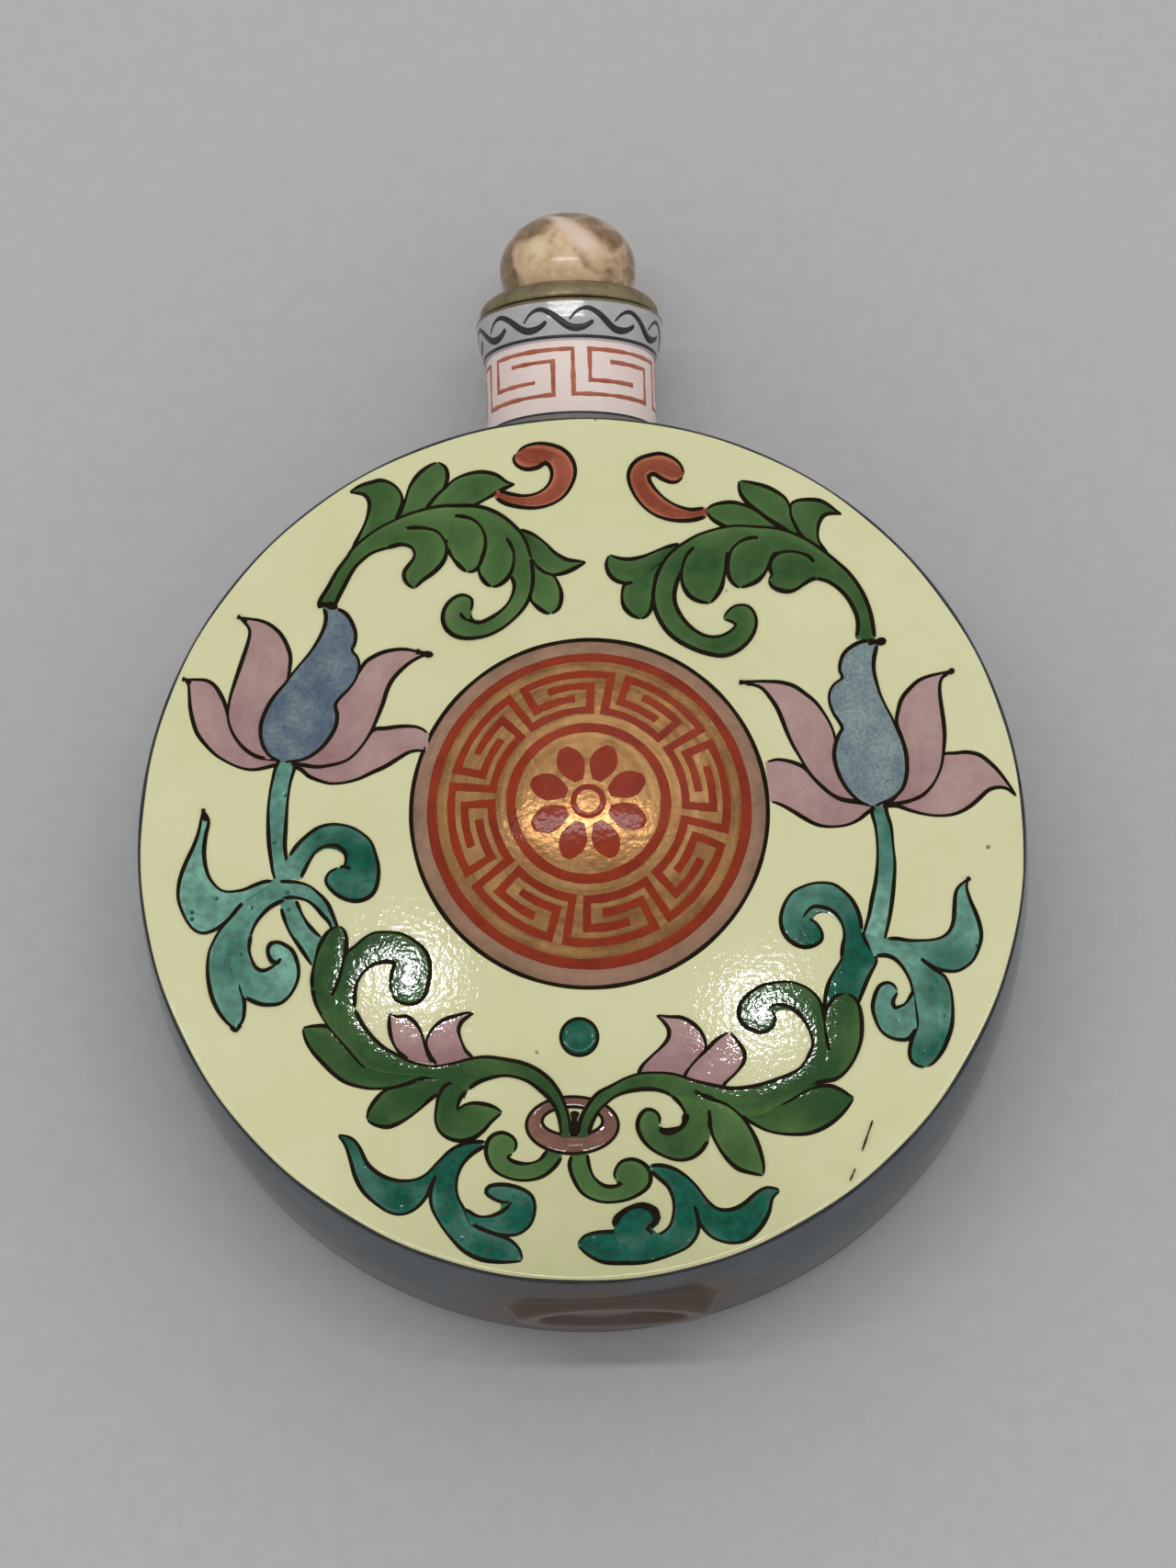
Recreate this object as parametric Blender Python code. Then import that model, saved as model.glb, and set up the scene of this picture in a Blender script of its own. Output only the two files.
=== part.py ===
"""Porcelain snuff bottle, lying on its back: a disc flask with a domed boss, and a stopper with a spoon.

Frame: metres. +Z points out of the decorated front face, +Y runs along the neck to the stopper, and the
origin is the centre of the flat back face, on which the bottle lies.
"""
import math

import bmesh
import bpy
from mathutils import Matrix

MM = 0.001

# Flask: two press-moulded dishes that meet rim to rim at half depth
FACE_RADIUS = 25.0 * MM
FLASK_DEPTH = 17.0 * MM
WALL_BULGE = 0.35 * MM
EDGE_ROUND = 0.35 * MM
PORCELAIN = 2.2 * MM
INNER_ROUND = 1.6 * MM

# Domed boss in the front face, a little off its centre as on the photographed bottle
BOSS_RADIUS = 10.0 * MM
BOSS_HEIGHT = 3.0 * MM
BOSS_SHIFT_X = 0.5 * MM
BOSS_SHIFT_Y = 1.8 * MM
BOSS_ROOT = 1.0 * MM

# Turned neck with a flared lip
NECK_RADIUS = 4.9 * MM
NECK_LENGTH = 5.35 * MM
LIP_RADIUS = 5.4 * MM
LIP_HEIGHT = 2.4 * MM
LIP_ROUND = 0.4 * MM
BORE_RADIUS = 3.1 * MM

# Low oval foot ring opposite the neck
FOOT_WIDTH = 11.0 * MM
FOOT_THICKNESS = 7.0 * MM
FOOT_HEIGHT = 0.3 * MM
FOOT_WALL = 1.4 * MM
FOOT_SHIFT_X = 0.9 * MM

# Stopper: stone finial, brass collar, cork and spoon
COLLAR_RADIUS = 5.2 * MM
COLLAR_TOP_RADIUS = 3.9 * MM
COLLAR_HEIGHT = 1.25 * MM
COLLAR_EDGE = 0.25 * MM
FINIAL_RADIUS = 3.97 * MM
FINIAL_BASE_RADIUS = 3.6 * MM
FINIAL_BELOW = 1.75 * MM
FINIAL_ABOVE = 3.3 * MM
TANG_DEPTH = 2.2 * MM
CORK_LENGTH = 7.0 * MM
CORK_TAPER = 0.2 * MM
CORK_CHAMFER = 0.4 * MM
STEM_RADIUS = 0.55 * MM
BOWL_LENGTH = 6.0 * MM
BOWL_WIDTH = 3.4 * MM
BOWL_THICKNESS = 1.5 * MM
BOWL_RIM = 0.35 * MM
TIP_CLEARANCE = 4.0 * MM

# Clearances between pieces
LUTE_GAP = 0.10 * MM
SEAT_GAP = 0.10 * MM
GLUE_GAP = 0.10 * MM
CORK_CLEARANCE = 0.12 * MM

# Facets round a full turn, and how far a cutter runs past what it cuts
FLASK_SEGMENTS = 72
NECK_SEGMENTS = 40
STEM_SEGMENTS = 16
WALL_STEPS = 8
ARC_STEPS = 4
DOME_STEPS = 10
CUT_OVERRUN = 2.0 * MM

# Places along the neck axis, measured from the middle of the flask
WALL_RADIUS = FACE_RADIUS + WALL_BULGE
INNER_RADIUS = FACE_RADIUS - PORCELAIN
LIP_BASE = WALL_RADIUS + NECK_LENGTH
LIP_TOP = LIP_BASE + LIP_HEIGHT
COLLAR_BASE = LIP_TOP + SEAT_GAP
COLLAR_TOP = COLLAR_BASE + COLLAR_HEIGHT
FINIAL_BASE = COLLAR_TOP + GLUE_GAP
CORK_TOP = COLLAR_BASE - GLUE_GAP
CORK_BASE = CORK_TOP - CORK_LENGTH
SPOON_TIP = TIP_CLEARANCE - INNER_RADIUS
TANG_RADIUS = STEM_RADIUS + GLUE_GAP


def clear_scene():
    """Remove every object that the open file holds."""
    for old in list(bpy.data.objects):
        bpy.data.objects.remove(old, do_unlink=True)


def material(name, colour, roughness, metallic=0.0):
    """Principled material of one colour, roughness and metallic value."""
    made = bpy.data.materials.new(name)
    made.use_nodes = True
    shader = made.node_tree.nodes["Principled BSDF"]
    shader.inputs["Base Color"].default_value = (*colour, 1.0)
    shader.inputs["Roughness"].default_value = roughness
    shader.inputs["Metallic"].default_value = metallic
    return made


def arc(centre, radius, start, end, steps):
    """Points (across, up) on an arc round centre, from the start angle to the end angle in degrees."""
    points = []
    for step in range(steps + 1):
        angle = math.radians(start + (end - start) * step / steps)
        points.append((centre[0] + radius * math.cos(angle), centre[1] + radius * math.sin(angle)))
    return points


def new_object(name, bm, look=None):
    """Turn a bmesh into a smooth-shaded object, with its faces pointing out."""
    bmesh.ops.recalc_face_normals(bm, faces=bm.faces)
    mesh = bpy.data.meshes.new(name)
    bm.to_mesh(mesh)
    bm.free()
    mesh.shade_smooth()
    mesh.set_sharp_from_angle(angle=math.radians(35))
    made = bpy.data.objects.new(name, mesh)
    bpy.context.scene.collection.objects.link(made)
    if look:
        mesh.materials.append(look)
    return made


def revolve(profile, segments):
    """Spin a closed outline of (radius, height) points round Z; points on the axis close up into poles."""
    bm = bmesh.new()
    rim = [bm.verts.new((radius, 0.0, height)) for radius, height in profile]
    edges = [bm.edges.new(pair) for pair in zip(rim, rim[1:])]
    if profile[0][0] > 0.0:
        edges.append(bm.edges.new((rim[-1], rim[0])))
    bmesh.ops.spin(
        bm, geom=rim + edges, cent=(0, 0, 0), axis=(0, 0, 1), angle=math.tau, steps=segments, use_merge=True
    )
    bmesh.ops.remove_doubles(bm, verts=bm.verts, dist=1e-7)
    bmesh.ops.dissolve_degenerate(bm, edges=bm.edges, dist=1e-8)
    return bm


def prism(outline, low, high):
    """Extrude a closed outline of (x, y) points from one height to another."""
    bm = bmesh.new()
    base = bm.faces.new([bm.verts.new((x, y, low)) for x, y in outline])
    raised = bmesh.ops.extrude_face_region(bm, geom=[base])["geom"]
    lifted = [item for item in raised if isinstance(item, bmesh.types.BMVert)]
    bmesh.ops.translate(bm, verts=lifted, vec=(0, 0, high - low))
    return bm


def ellipsoid(width, thickness, length, segments):
    """Ball squashed to three full sizes, along X, Y and Z."""
    bm = bmesh.new()
    size = Matrix.Diagonal((width, thickness, length, 1.0))
    bmesh.ops.create_uvsphere(bm, u_segments=segments, v_segments=segments // 2, radius=0.5, matrix=size)
    return bm


def boolean(target, tool, operation):
    """Add an exact Boolean to an object, and keep its tool out of the finished model."""
    step = target.modifiers.new(operation.lower() + "_" + tool.name, "BOOLEAN")
    step.operation = operation
    step.object = tool
    tool.hide_render = True
    tool.display_type = "WIRE"


def empty(name, location, rotation=(0.0, 0.0, 0.0), parent=None):
    """Plain axes that carry the pieces of one group."""
    made = bpy.data.objects.new(name, None)
    made.location = location
    made.rotation_euler = rotation
    made.parent = parent
    bpy.context.scene.collection.objects.link(made)
    return made


def wall_radius_at(height):
    """Radius of the swelling side wall at a height over the back face: a shallow parabola."""
    from_middle = 2.0 * height / FLASK_DEPTH - 1.0
    return FACE_RADIUS + WALL_BULGE * (1.0 - from_middle * from_middle)


def dish_profile(face, seam):
    """Section of one moulded dish, from its face at the axis, round the wall to the seam, and back inside."""
    out = 1.0 if face > seam else -1.0
    outline = [(0.0, face), (FACE_RADIUS - 3.0 * EDGE_ROUND, face)]
    corner = (FACE_RADIUS - EDGE_ROUND, face - out * EDGE_ROUND)
    outline += arc(corner, EDGE_ROUND, out * 90.0, 0.0, ARC_STEPS)
    top = face - out * EDGE_ROUND
    for step in range(1, WALL_STEPS + 1):
        height = top + (seam - top) * step / WALL_STEPS
        outline.append((wall_radius_at(height), height))
    inner_face = face - out * PORCELAIN
    outline.append((INNER_RADIUS, seam))
    hollow = (INNER_RADIUS - INNER_ROUND, inner_face - out * INNER_ROUND)
    outline += arc(hollow, INNER_ROUND, 0.0, out * 90.0, ARC_STEPS)
    outline.append((0.0, inner_face))
    return outline


def grown_wall():
    """Solid of the flask's outside, grown by the luting gap, that shapes what is luted onto the wall."""
    heights = [FLASK_DEPTH * step / (2 * WALL_STEPS) for step in range(2 * WALL_STEPS + 1)]
    side = [(wall_radius_at(height) + LUTE_GAP, height) for height in heights]
    profile = [(0.0, 0.0)] + side + [(0.0, FLASK_DEPTH)]
    return new_object("wall_cutter", revolve(profile, FLASK_SEGMENTS))


def bore_cutter(axis):
    """Round cutter for the mouth of the flask, in line with the neck's bore."""
    low = INNER_RADIUS - CUT_OVERRUN
    high = WALL_RADIUS + CUT_OVERRUN
    profile = [(0.0, high), (BORE_RADIUS, high), (BORE_RADIUS, low), (0.0, low)]
    made = new_object("mouth_cutter", revolve(profile, NECK_SEGMENTS))
    made.parent = axis
    return made


def dome_profile():
    """Section of the boss: a spherical cap on a short root that sinks into the face."""
    sphere = (BOSS_RADIUS ** 2 + BOSS_HEIGHT ** 2) / (2.0 * BOSS_HEIGHT)
    spread = math.degrees(math.asin(BOSS_RADIUS / sphere))
    cap = arc((0.0, BOSS_HEIGHT - sphere), sphere, 90.0, 90.0 - spread, DOME_STEPS)
    cap[0] = (0.0, BOSS_HEIGHT)
    return cap + [(BOSS_RADIUS, -BOSS_ROOT), (0.0, -BOSS_ROOT)]


def make_front(mouth):
    """Front dish of the flask, with the boss pressed into its face."""
    seam = (FLASK_DEPTH + LUTE_GAP) / 2.0
    look = material("lemon_enamel", (0.72, 0.70, 0.38), 0.18)
    front = new_object("body_front", revolve(dish_profile(FLASK_DEPTH, seam), FLASK_SEGMENTS), look)
    boss = new_object("boss_former", revolve(dome_profile(), FLASK_SEGMENTS), look)
    boss.location = (BOSS_SHIFT_X, BOSS_SHIFT_Y, FLASK_DEPTH)
    boolean(front, boss, "UNION")
    boolean(front, mouth, "DIFFERENCE")


def make_back(mouth):
    """Back dish of the flask, flat so that the bottle lies steady."""
    seam = (FLASK_DEPTH - LUTE_GAP) / 2.0
    look = material("blue_grey_enamel", (0.23, 0.28, 0.34), 0.2)
    back = new_object("body_back", revolve(dish_profile(0.0, seam), FLASK_SEGMENTS), look)
    boolean(back, mouth, "DIFFERENCE")


def make_neck(axis, wall):
    """Turned neck and flared lip, hollow, with its foot cut to sit on the round wall."""
    low = INNER_RADIUS
    corner = (LIP_RADIUS - LIP_ROUND, LIP_TOP - LIP_ROUND)
    profile = [(BORE_RADIUS, LIP_TOP)]
    profile += arc(corner, LIP_ROUND, 90.0, 0.0, ARC_STEPS)
    profile += [(NECK_RADIUS, LIP_BASE), (NECK_RADIUS, low), (BORE_RADIUS, low)]
    neck = new_object(
        "neck", revolve(profile, NECK_SEGMENTS), material("white_porcelain", (0.74, 0.66, 0.62), 0.2)
    )
    neck.parent = axis
    boolean(neck, wall, "DIFFERENCE")


def oval(width, thickness):
    """Outline of an ellipse of two full sizes."""
    turns = [math.tau * step / NECK_SEGMENTS for step in range(NECK_SEGMENTS)]
    return [(width / 2.0 * math.cos(turn), thickness / 2.0 * math.sin(turn)) for turn in turns]


def make_foot(axis, wall):
    """Low oval foot ring with a recessed base, cut to sit on the round wall opposite the neck."""
    low = -(WALL_RADIUS + FOOT_HEIGHT)
    high = -INNER_RADIUS
    look = material("iron_red_foot", (0.30, 0.16, 0.13), 0.3)
    foot = new_object("foot_ring", prism(oval(FOOT_WIDTH, FOOT_THICKNESS), low, high), look)
    inside = oval(FOOT_WIDTH - 2.0 * FOOT_WALL, FOOT_THICKNESS - 2.0 * FOOT_WALL)
    recess = new_object("foot_cutter", prism(inside, low - CUT_OVERRUN, high + CUT_OVERRUN))
    for piece in (foot, recess):
        piece.location.x = FOOT_SHIFT_X
        piece.parent = axis
    boolean(foot, recess, "DIFFERENCE")
    boolean(foot, wall, "DIFFERENCE")


def make_collar(stopper):
    """Brass flange on the lip: an upright edge, then a quarter ellipse that rises to the stone's base."""
    spread = COLLAR_RADIUS - COLLAR_TOP_RADIUS
    rise = COLLAR_HEIGHT - COLLAR_EDGE
    profile = [(TANG_RADIUS, COLLAR_TOP)]
    for across, up in arc((0.0, 0.0), 1.0, 90.0, 0.0, 2 * ARC_STEPS):
        profile.append((COLLAR_TOP_RADIUS + spread * across, COLLAR_BASE + COLLAR_EDGE + rise * up))
    profile += [(COLLAR_RADIUS, COLLAR_BASE), (TANG_RADIUS, COLLAR_BASE)]
    collar = new_object(
        "collar", revolve(profile, NECK_SEGMENTS), material("aged_brass", (0.35, 0.29, 0.17), 0.4, 1.0)
    )
    collar.parent = stopper


def make_finial(stopper):
    """Stone cabochon: a full belly over a narrower base, a domed top, and a blind hole for the spoon's tang."""
    belly = FINIAL_BASE + FINIAL_BELOW
    fall = FINIAL_BELOW / math.sqrt(1.0 - (FINIAL_BASE_RADIUS / FINIAL_RADIUS) ** 2)
    profile = [(0.0, belly + FINIAL_ABOVE)]
    for step in range(1, DOME_STEPS + 1):
        turn = math.pi / 2.0 * step / DOME_STEPS
        profile.append((FINIAL_RADIUS * math.sin(turn), belly + FINIAL_ABOVE * math.cos(turn)))
    for step in range(1, ARC_STEPS + 1):
        drop = FINIAL_BELOW * step / ARC_STEPS
        profile.append((FINIAL_RADIUS * math.sqrt(1.0 - (drop / fall) ** 2), belly - drop))
    hole_end = FINIAL_BASE + TANG_DEPTH
    profile += [(TANG_RADIUS, FINIAL_BASE), (TANG_RADIUS, hole_end), (0.0, hole_end)]
    finial = new_object(
        "finial", revolve(profile, NECK_SEGMENTS), material("beige_stone", (0.52, 0.41, 0.33), 0.35)
    )
    finial.parent = stopper


def make_cork(stopper):
    """Tapered cork that plugs the bore, drilled for the spoon's stem."""
    top_radius = BORE_RADIUS - CORK_CLEARANCE
    base_radius = top_radius - CORK_TAPER
    profile = [
        (TANG_RADIUS, CORK_TOP),
        (top_radius, CORK_TOP),
        (base_radius, CORK_BASE + CORK_CHAMFER),
        (base_radius - CORK_CHAMFER, CORK_BASE),
        (TANG_RADIUS, CORK_BASE),
    ]
    cork = new_object("cork", revolve(profile, NECK_SEGMENTS), material("cork", (0.42, 0.27, 0.15), 0.85))
    cork.parent = stopper


def make_spoon(stopper):
    """Long thin spoon: a round stem up through the cork and collar into the stone, and a scooped oval bowl."""
    top = FINIAL_BASE + TANG_DEPTH - GLUE_GAP
    low = SPOON_TIP + 0.75 * BOWL_LENGTH
    stem = [(0.0, top), (STEM_RADIUS, top), (STEM_RADIUS, low), (0.0, low)]
    look = material("bamboo", (0.62, 0.47, 0.27), 0.5)
    spoon = new_object("spoon", revolve(stem, STEM_SEGMENTS), look)
    bowl = new_object("bowl_former", ellipsoid(BOWL_WIDTH, BOWL_THICKNESS, BOWL_LENGTH, STEM_SEGMENTS * 2), look)
    scoop_size = (BOWL_WIDTH - 2.0 * BOWL_RIM, BOWL_THICKNESS, BOWL_LENGTH - 4.0 * BOWL_RIM)
    scoop = new_object("scoop_cutter", ellipsoid(*scoop_size, STEM_SEGMENTS * 2))
    for former in (bowl, scoop):
        former.location.z = SPOON_TIP + BOWL_LENGTH / 2.0
        former.parent = stopper
    scoop.location.y = -BOWL_THICKNESS / 2.0
    spoon.parent = stopper
    boolean(spoon, bowl, "UNION")
    boolean(spoon, scoop, "DIFFERENCE")


def main():
    """Model the bottle and its stopper."""
    clear_scene()
    neck_axis = empty("neck_axis", (0.0, 0.0, FLASK_DEPTH / 2.0), (math.radians(-90.0), 0.0, 0.0))
    stopper = empty("stopper_slide", (0.0, 0.0, 0.0), parent=neck_axis)
    mouth = bore_cutter(neck_axis)
    wall = grown_wall()
    make_front(mouth)
    make_back(mouth)
    make_neck(neck_axis, wall)
    make_foot(neck_axis, wall)
    make_collar(stopper)
    make_finial(stopper)
    make_cork(stopper)
    make_spoon(stopper)
    bpy.context.view_layer.update()


main()
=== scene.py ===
"""Looks of a round, flat porcelain snuff bottle with a lift-out stopper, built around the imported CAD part.

Frame: the bottle lies on its back, +Z out of the painted front, +Y along the neck, +X to the right.
Lengths in this file are in millimetres until a mesh is made, and the mesh is in metres.
"""
import math

import bpy
import numpy as np
from mathutils import Matrix


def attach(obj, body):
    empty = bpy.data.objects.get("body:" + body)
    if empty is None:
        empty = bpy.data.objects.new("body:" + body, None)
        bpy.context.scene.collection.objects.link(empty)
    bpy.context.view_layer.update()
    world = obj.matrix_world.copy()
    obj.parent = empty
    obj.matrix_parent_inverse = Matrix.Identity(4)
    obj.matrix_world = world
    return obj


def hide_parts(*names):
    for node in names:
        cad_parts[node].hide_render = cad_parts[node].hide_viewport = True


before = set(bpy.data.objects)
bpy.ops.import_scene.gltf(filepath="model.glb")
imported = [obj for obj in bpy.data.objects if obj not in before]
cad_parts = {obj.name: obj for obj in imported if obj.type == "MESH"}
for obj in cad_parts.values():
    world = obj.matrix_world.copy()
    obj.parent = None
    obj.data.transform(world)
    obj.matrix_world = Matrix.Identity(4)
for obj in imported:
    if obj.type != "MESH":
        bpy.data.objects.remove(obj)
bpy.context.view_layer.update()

MM = 0.001

# The photograph's frame and the view that was fitted to it.
PHOTO_WIDTH = 1280
PHOTO_HEIGHT = 1707
VIEW_TILT = math.radians(12.75)
VIEW_TURN = math.radians(0.9)
VIEW_ROLL = math.radians(-1.6)
VIEW_DISTANCE = 450.0
PIXELS_PER_MM = 19.337
FACE_CENTRE_PIXEL = (632.8, 919.25)
SENSOR = 36.0

# The flask.
FACE_RADIUS = 25.0
FLASK_DEPTH = 17.0
WALL_BULGE = 0.35
EDGE_ROUND = 0.35
PORCELAIN = 2.2
BOSS_RADIUS = 10.0
BOSS_HEIGHT = 3.0
BOSS_X = 0.5
BOSS_Y = 1.8
BACK_RECESS = 0.16

# The neck, foot and stopper, along +Y on the axis at half the depth.
AXIS_Z = FLASK_DEPTH / 2
NECK_RADIUS = 4.9
LIP_RADIUS = 5.4
LIP_BASE = 30.70
LIP_TOP = 33.10
BORE_RADIUS = 3.1
NECK_SUNK = 24.3
BORE_END = 22.5
FOOT_WIDTH = 11.0
FOOT_THICKNESS = 7.0
FOOT_HEIGHT = 0.3
FOOT_WALL = 1.4
FOOT_X = 0.9
COLLAR_BASE = 33.20
COLLAR_TOP = 34.45
COLLAR_EDGE = 0.25
COLLAR_RADIUS = 5.2
COLLAR_TOP_RADIUS = 3.9
FINIAL_BASE = 34.55
FINIAL_BELLY = 36.30
FINIAL_TOP = 39.60
FINIAL_RADIUS = 3.97
FINIAL_FOOT_RADIUS = 3.6

# Painted lines and enamel layers.
SINK = 0.02
FILL_LIFT = 0.020
LAYER_STEP = 0.011
LINE_LIFT = 0.006
CROWN = 0.002
INK_WIDTH = 0.235
LINE_CROWN = 0.003
LINE_ACROSS = np.array([-1.0, -0.86, 0.0, 0.86, 1.0])
MITRE_LIMIT = 0.5
PAINT_SHARP = 35
FORM_SHARP = 50

# Points on each stretch of a smooth curve, the steps of a millimetre within which points are joined, and the
# length that counts as none.
STRETCH_POINTS = 12
JOIN_STEPS = 1e5
NO_LENGTH = 1e-9


def sight():
    """The eye, its right, up and ahead directions and the focal length in pixels.

    The eye stands VIEW_DISTANCE from the face centre, tilted to the foot, turned to the right and rolled.
    It is then swung so that the face centre falls on its own pixel and not on the picture's middle.
    """
    back = np.array([math.sin(VIEW_TURN) * math.cos(VIEW_TILT), -math.sin(VIEW_TILT),
                     math.cos(VIEW_TILT) * math.cos(VIEW_TURN)])
    back = back / np.linalg.norm(back)
    lift = np.array([0.0, 1.0, 0.0])
    lift = lift - (lift @ back) * back
    lift = lift / np.linalg.norm(lift)
    side = np.cross(-back, lift)
    right = math.cos(VIEW_ROLL) * side + math.sin(VIEW_ROLL) * lift
    up = math.cos(VIEW_ROLL) * lift - math.sin(VIEW_ROLL) * side
    focal = PIXELS_PER_MM * VIEW_DISTANCE
    aim = np.array([(FACE_CENTRE_PIXEL[0] - PHOTO_WIDTH / 2) / focal,
                    (PHOTO_HEIGHT / 2 - FACE_CENTRE_PIXEL[1]) / focal, 1.0])
    aim = aim / np.linalg.norm(aim)
    turn = np.cross([0.0, 0.0, 1.0], aim)
    cross = np.array([[0, -turn[2], turn[1]], [turn[2], 0, -turn[0]], [-turn[1], turn[0], 0]])
    swing = np.eye(3) + cross + cross @ cross / (1 + aim[2])
    axes = swing @ np.array([right, up, -back])
    eye = np.array([0.0, 0.0, FLASK_DEPTH]) + VIEW_DISTANCE * back
    return eye, axes[0], axes[1], axes[2], focal


EYE, EYE_RIGHT, EYE_UP, EYE_AHEAD, FOCAL = sight()


def on_face(pixels):
    """Pixels of the photograph as points of the face plane: rays from the eye, cut at the face's height."""
    x = (pixels[:, 0] - PHOTO_WIDTH / 2) / FOCAL
    y = (PHOTO_HEIGHT / 2 - pixels[:, 1]) / FOCAL
    ray = EYE_AHEAD + x[:, None] * EYE_RIGHT + y[:, None] * EYE_UP
    reach = (FLASK_DEPTH - EYE[2]) / ray[:, 2]
    return EYE[:2] + reach[:, None] * ray[:, :2]


def points(text):
    """A list of points written as "x,y x,y ..."."""
    return np.array([pair.split(",") for pair in text.split()], float)


def rays(count):
    """Even directions round a circle: the cosine and sine of equal steps of a full turn."""
    turn = np.linspace(0, 2 * math.pi, count, endpoint=False)
    return np.stack([np.cos(turn), np.sin(turn)], -1)


def smooth_route(knots, count):
    """Even points on a smooth curve through the knots.

    Each stretch is the cubic whose end slopes are half the chord between the neighbouring knots.
    The curve is then walked at equal arc lengths.
    """
    ends = np.vstack([2 * knots[:1] - knots[1:2], knots, 2 * knots[-1:] - knots[-2:-1]])
    a, b, c, d = ends[:-3, None], ends[1:-2, None], ends[2:-1, None], ends[3:, None]
    t = np.linspace(0, 1, STRETCH_POINTS, endpoint=False)[None, :, None]
    curve = b + 0.5 * ((c - a) * t + (2 * a - 5 * b + 4 * c - d) * t**2 + (3 * b - a - 3 * c + d) * t**3)
    curve = np.vstack([curve.reshape(-1, knots.shape[1]), knots[-1:]])
    run = np.concatenate([[0], np.cumsum(np.linalg.norm(np.diff(curve, axis=0), axis=1))])
    at = np.linspace(0, run[-1], count)
    return np.stack([np.interp(at, run, column) for column in curve.T], -1)


def straight_route(corners, step, clear, tip):
    """Points along straight stretches: every corner, and between two corners even points clear of both.

    At the two free ends, the nearest point keeps only the tip's distance, so that a stroke ends blunt.
    """
    gaps = np.full(len(corners), clear)
    gaps[[0, -1]] = tip
    parts = []
    for p, q, near, far in zip(corners[:-1], corners[1:], gaps[:-1], gaps[1:]):
        run = np.linalg.norm(q - p)
        share = np.linspace(near / run, 1 - far / run, max(2, int((run - near - far) / step) + 2))
        parts.append(p[None])
        parts.append(p + (q - p) * share[:, None])
    return np.vstack(parts + [corners[-1:]])


def circle_route(radius, count, centre):
    """Points of a circle: its centre plus the radius along even directions."""
    return centre + radius * rays(count)


def front_place(flat, lift):
    """Face coordinates to the front: the face plane, or the boss's spherical cap, plus the lift."""
    ball = (BOSS_RADIUS**2 + BOSS_HEIGHT**2) / (2 * BOSS_HEIGHT)
    away = (flat[..., 0] - BOSS_X)**2 + (flat[..., 1] - BOSS_Y)**2
    cap = np.sqrt(np.maximum(ball**2 - away, 0)) - (ball - BOSS_HEIGHT)
    height = FLASK_DEPTH + np.maximum(cap, 0) + lift
    return np.stack([flat[..., 0], flat[..., 1], height], -1)


def back_place(flat, lift):
    """Face coordinates to the back, seen from behind: x turned round, the lift down from the recess."""
    return np.stack([-flat[..., 0], flat[..., 1], BACK_RECESS - lift + 0 * flat[..., 0]], -1)


def round_place(radius_at):
    """A place on a turned surface: x in degrees from the front, y along the axis, the lift outwards."""
    def place(flat, lift):
        """The radius there plus the lift, times the angle's sine and cosine, round the axis."""
        turn = np.radians(flat[..., 0])
        reach = radius_at(flat[..., 1]) + lift
        return np.stack([reach * np.sin(turn), flat[..., 1] + 0 * lift, AXIS_Z + reach * np.cos(turn)], -1)
    return place


def sheet(grid, uv=None, wrap=(False, False), keep=None, flip=False, shade=0.5):
    """Quads over a grid of points, with equal points joined and collapsed quads made triangles.

    wrap closes the first or second parameter, keep is a mask of the quads that stay, flip turns the faces
    round, and shade is the depth of colour, one value or a grid of them.
    """
    rows, columns = grid.shape[:2]
    if uv is None:
        u, v = np.meshgrid(np.linspace(0, 1, rows), np.linspace(0, 1, columns), indexing="ij")
        uv = np.stack([u, v], -1)
    i, j = np.meshgrid(np.arange(rows - (not wrap[0])), np.arange(columns - (not wrap[1])), indexing="ij")
    i2 = (i + 1) % rows
    j2 = (j + 1) % columns
    quads = np.stack([i * columns + j, i2 * columns + j, i2 * columns + j2, i * columns + j2], -1)
    corner_uv = np.stack([uv[i, j], uv[i2, j], uv[i2, j2], uv[i, j2]], -2)
    if wrap[0]:
        corner_uv[-1, :, 1:3, 0] = 1.0
    quads = quads[keep] if keep is not None else quads.reshape(-1, 4)
    corner_uv = corner_uv[keep] if keep is not None else corner_uv.reshape(-1, 4, 2)
    flat = grid.reshape(-1, 3)
    steps = np.round(flat * JOIN_STEPS).astype(np.int64)
    _, first, joined = np.unique(steps, axis=0, return_index=True, return_inverse=True)
    quads = joined.reshape(-1)[quads]
    if flip:
        quads = quads[:, ::-1]
        corner_uv = corner_uv[:, ::-1]
    same = quads == np.roll(quads, -1, axis=1)
    whole = same.sum(1) == 0
    pinched = same.sum(1) == 1
    others = (same[pinched].argmax(1)[:, None] + np.array([1, 2, 3])) % 4
    line = np.arange(len(others))[:, None]
    tone = np.broadcast_to(shade, (rows, columns)).reshape(-1)[first]
    return {"co": flat[first], "quads": quads[whole], "quad_uv": corner_uv[whole],
            "tris": quads[pinched][line, others], "tri_uv": corner_uv[pinched][line, others], "shade": tone}


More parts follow.
